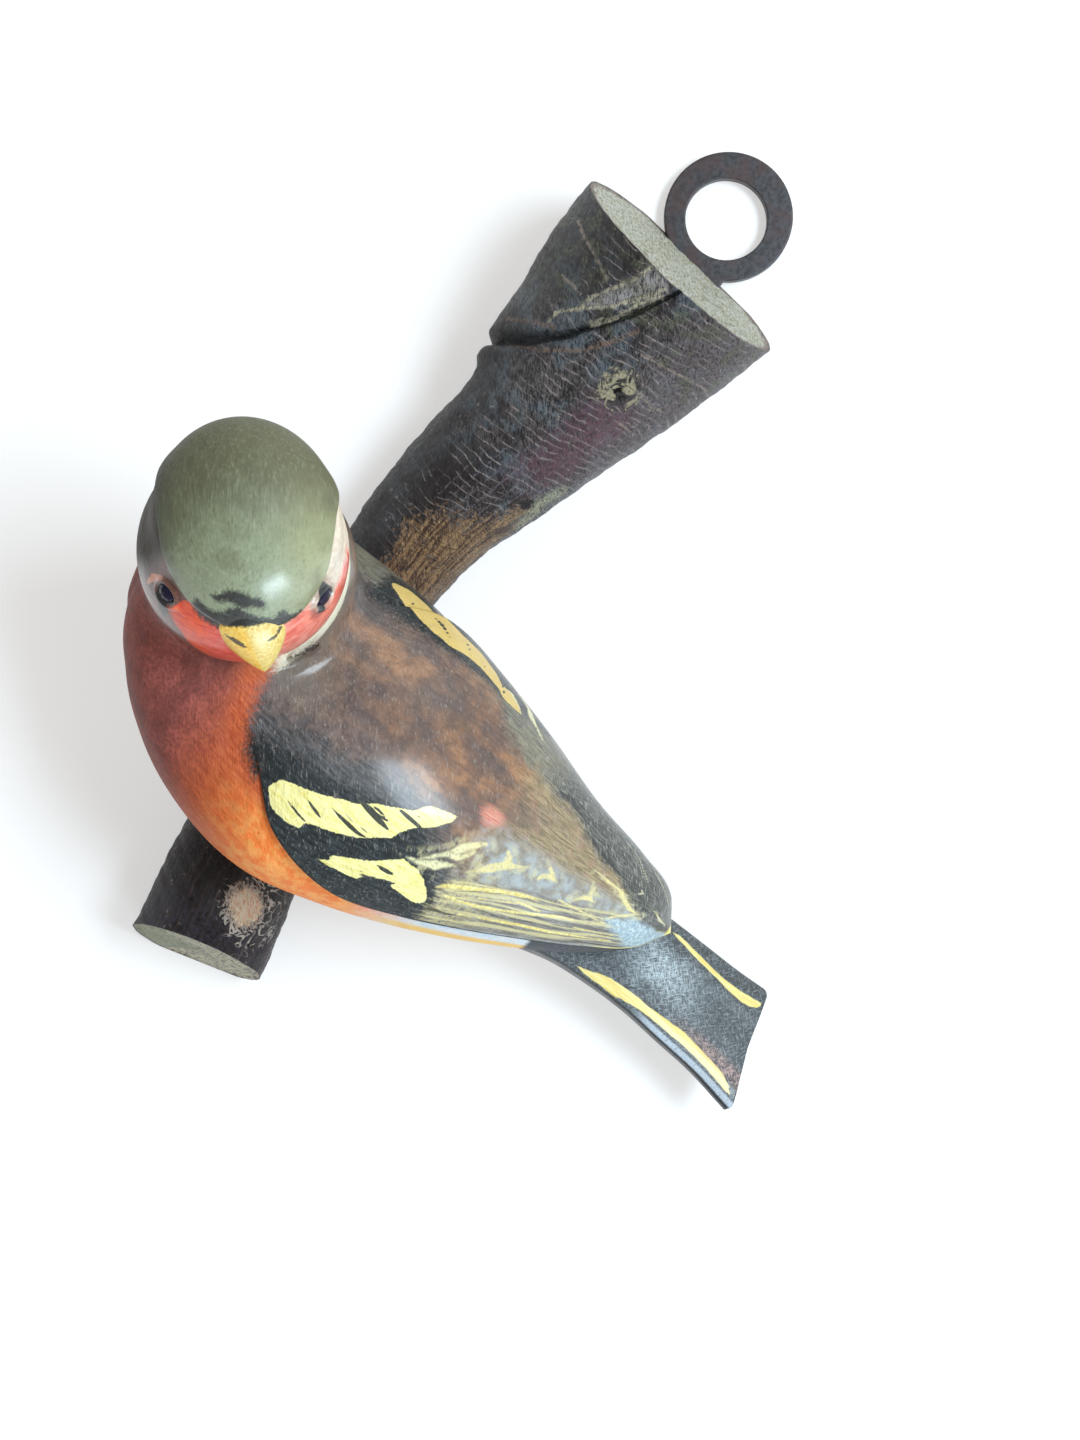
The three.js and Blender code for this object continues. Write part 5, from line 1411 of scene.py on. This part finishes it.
# painted shade: a near-black dab for the twig's hollow, which the shape lacks
skin = s.over(skin, s.band(s.uneven(s.attribute("hollow"), hair, 4), 1.7, 0.8), "hollow")
scuffs = s.times(s.band(s.noise(where, 0.8, 5, 0.7), 0.6, 0.66), s.band(s.noise(where, 0.1, 2), 0.48, 0.62))
skin = s.over(skin, s.times(scuffs, 0.7), "scuffs")

depth = s.size(s.attribute("cap"))
saw = s.noise(s.strokePlace((3.0, 0.7, 1.0)), 1.0, 4, 0.7)
endGrain = s.pair("endGrain", saw, 0.42, 0.54)
growth = s.size(s.math("SINE", s.add(s.times(depth, 3.2), s.times(fine, 3))))
endGrain = s.over(endGrain, s.band(growth, 0.7, 0.95, 0, 0.15), "growth")
cutRim = s.times(s.band(s.uneven(depth, fine, 5.0), 2.2, 0.4, 0, 0.95), s.band(grain, 0.36, 0.5, 0.5, 1))
endGrain = s.over(endGrain, cutRim, "cutRim")
lowCut = s.pair("lowCut", fine, 0.36, 0.56)
lowCut = s.over(lowCut, s.band(s.uneven(turned, clouds, 90), 30, -80, 0, 0.7), "lowCutMoss")
endGrain = s.over(endGrain, s.times(s.band(s.attribute("cap"), -0.05, -0.3), 0.8), lowCut)
color = s.over(skin, s.band(s.uneven(depth, fine, 1.0), 0.1, 0.4), endGrain)
height = s.add(s.add(s.times(fine, 0.6), s.times(hair, 1.0)), s.add(s.times(arc, 1.4), s.times(fibre, 0.5)))
height = s.add(height, s.add(s.times(s.add(lip, scarCurls), 1.2), s.times(fold, -1.4)))
material = s.finish(color, s.band(fine, 0.35, 0.7, 0.3, 0.55), s.bump(height, 1.0, 0.002), IOR=1.45)
finishPiece(gridObject("branchLog", grid, barkFields), "branch_log", material)

print("stage: hardware")

hardwarePaints = {
    "steel": ((58, 58, 61), (74, 74, 77)),
    "steelBrown": (78, 64, 64),
    "dowel": ((160, 118, 74), (200, 158, 108)),
    # linear values, because the glass is darker than display tones can tell
    "glassDark": (0.008, 0.007, 0.02),
    "glassLight": (0.014, 0.011, 0.03),
}

# steel of the ring and screws: dark grey in soft brownish clouds, its sharp edges shaded round
s = Shader("darkSteel", hardwarePaints)
where = s.place()
fine = s.noise(where, 1.2, 5, 0.6)
brownish = s.band(s.noise(where, 0.2, 3, 0.5), 0.42, 0.6, 0, 0.8)
color = s.over(s.pair("steel", fine, 0.35, 0.65), brownish, "steelBrown")
eased = s.node("ShaderNodeBevel", {"Radius": 0.0005}, samples=6).outputs[0]
normal = s.bump(s.noise(where, 2.0, 4, 0.6), 0.1, 0.0003, eased)
steel = s.finish(color, s.band(fine, 0.3, 0.7, 0.36, 0.46), normal, Metallic=0.6)

# eyes: near-black glass; dowel: pale wood with its grain along Z
s = Shader("blackGlass", hardwarePaints)
cloudy = s.band(s.noise(s.place(), 1.0, 2), 0.3, 0.7)
glass = s.finish(s.mix(cloudy, hardwarePaints["glassDark"], hardwarePaints["glassLight"]), 0.08, IOR=1.3)
s = Shader("bareWood", hardwarePaints)
wood = s.finish(s.pair("dowel", s.noise(s.place((1, 1, 0.12)), 1.5, 4), 0.35, 0.65), 0.7)
for name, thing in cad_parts.items():
    thing.data.materials.clear()
    thing.data.materials.append(wood if name == "neck_dowel" else glass if name.endswith("eye") else steel)

print("stage: studio")

studio = {
    "floorTone": (186, 186, 186),
    "floorGlow": 0.5,  # for the camera and reflections alone
    "worldColor": (1.0, 0.97, 0.92, 1),
    "worldStrength": 0.42,
    "middle": (0.03, 0.03, 0.03),
    # place in metres, size in metres, watts, colour
    "lamps": {
        "windowFar": ((0.42, 0.41, 0.85), (0.44, 0.28), 10.5, (0.76, 0.9, 1.0)),
        "windowLow": ((0.66, -0.34, 0.18), (0.3, 0.18), 3.2, (0.74, 0.9, 1.0)),
        "lampBehind": ((-0.1, 0.9, 0.35), (0.7, 0.5), 2.2, (1.0, 0.96, 0.86)),
    },
    "cameraAt": (0.033, 0.019, 0.375),
    "lens": 50,
}

# stage: pale floor that keeps the shadow, seen a little brighter by the camera and in reflections
bpy.ops.mesh.primitive_plane_add(size=6, location=(0, 0, -0.0003))
floor = bpy.context.object
floor.name = "floor"
s = Shader("floorPaint")
paths = s.node("ShaderNodeLightPath").outputs
seen = s.most(*[paths["Is %s Ray" % kind] for kind in ("Camera", "Glossy", "Transmission")])
glow = s.times(seen, studio["floorGlow"])
white = (1.0, 1.0, 1.0)
floorPaint = s.finish(linear(studio["floorTone"]), 0.9, Emission_Color=white, Emission_Strength=glow)
floor.data.materials.append(floorPaint)
world = bpy.data.worlds.new("studio")
bpy.context.scene.world = world
world.use_nodes = True
background = world.node_tree.nodes["Background"].inputs
background["Color"].default_value = studio["worldColor"]
background["Strength"].default_value = studio["worldStrength"]

# soft rectangular lamps, all aimed at the middle of the object
for name, (at, size, power, color) in studio["lamps"].items():
    data = bpy.data.lights.new(name, "AREA")
    data.shape = "RECTANGLE"
    data.size, data.size_y = size
    data.energy = power
    data.color = color
    lamp = bpy.data.objects.new(name, data)
    bpy.context.scene.collection.objects.link(lamp)
    lamp.location = at
    lamp.rotation_euler = (Vector(studio["middle"]) - Vector(at)).to_track_quat("-Z", "Y").to_euler()

bpy.context.scene.view_settings.view_transform = "Standard"

# camera straight above, turned so that the branch leans as in the photo
camera = bpy.data.objects.new("camera", bpy.data.cameras.new("camera"))
bpy.context.scene.collection.objects.link(camera)
bpy.context.scene.camera = camera
camera.data.lens = studio["lens"]
camera.location = studio["cameraAt"]
camera.rotation_euler = (0, 0, cameraTurn)
camera.data.clip_start = 0.01
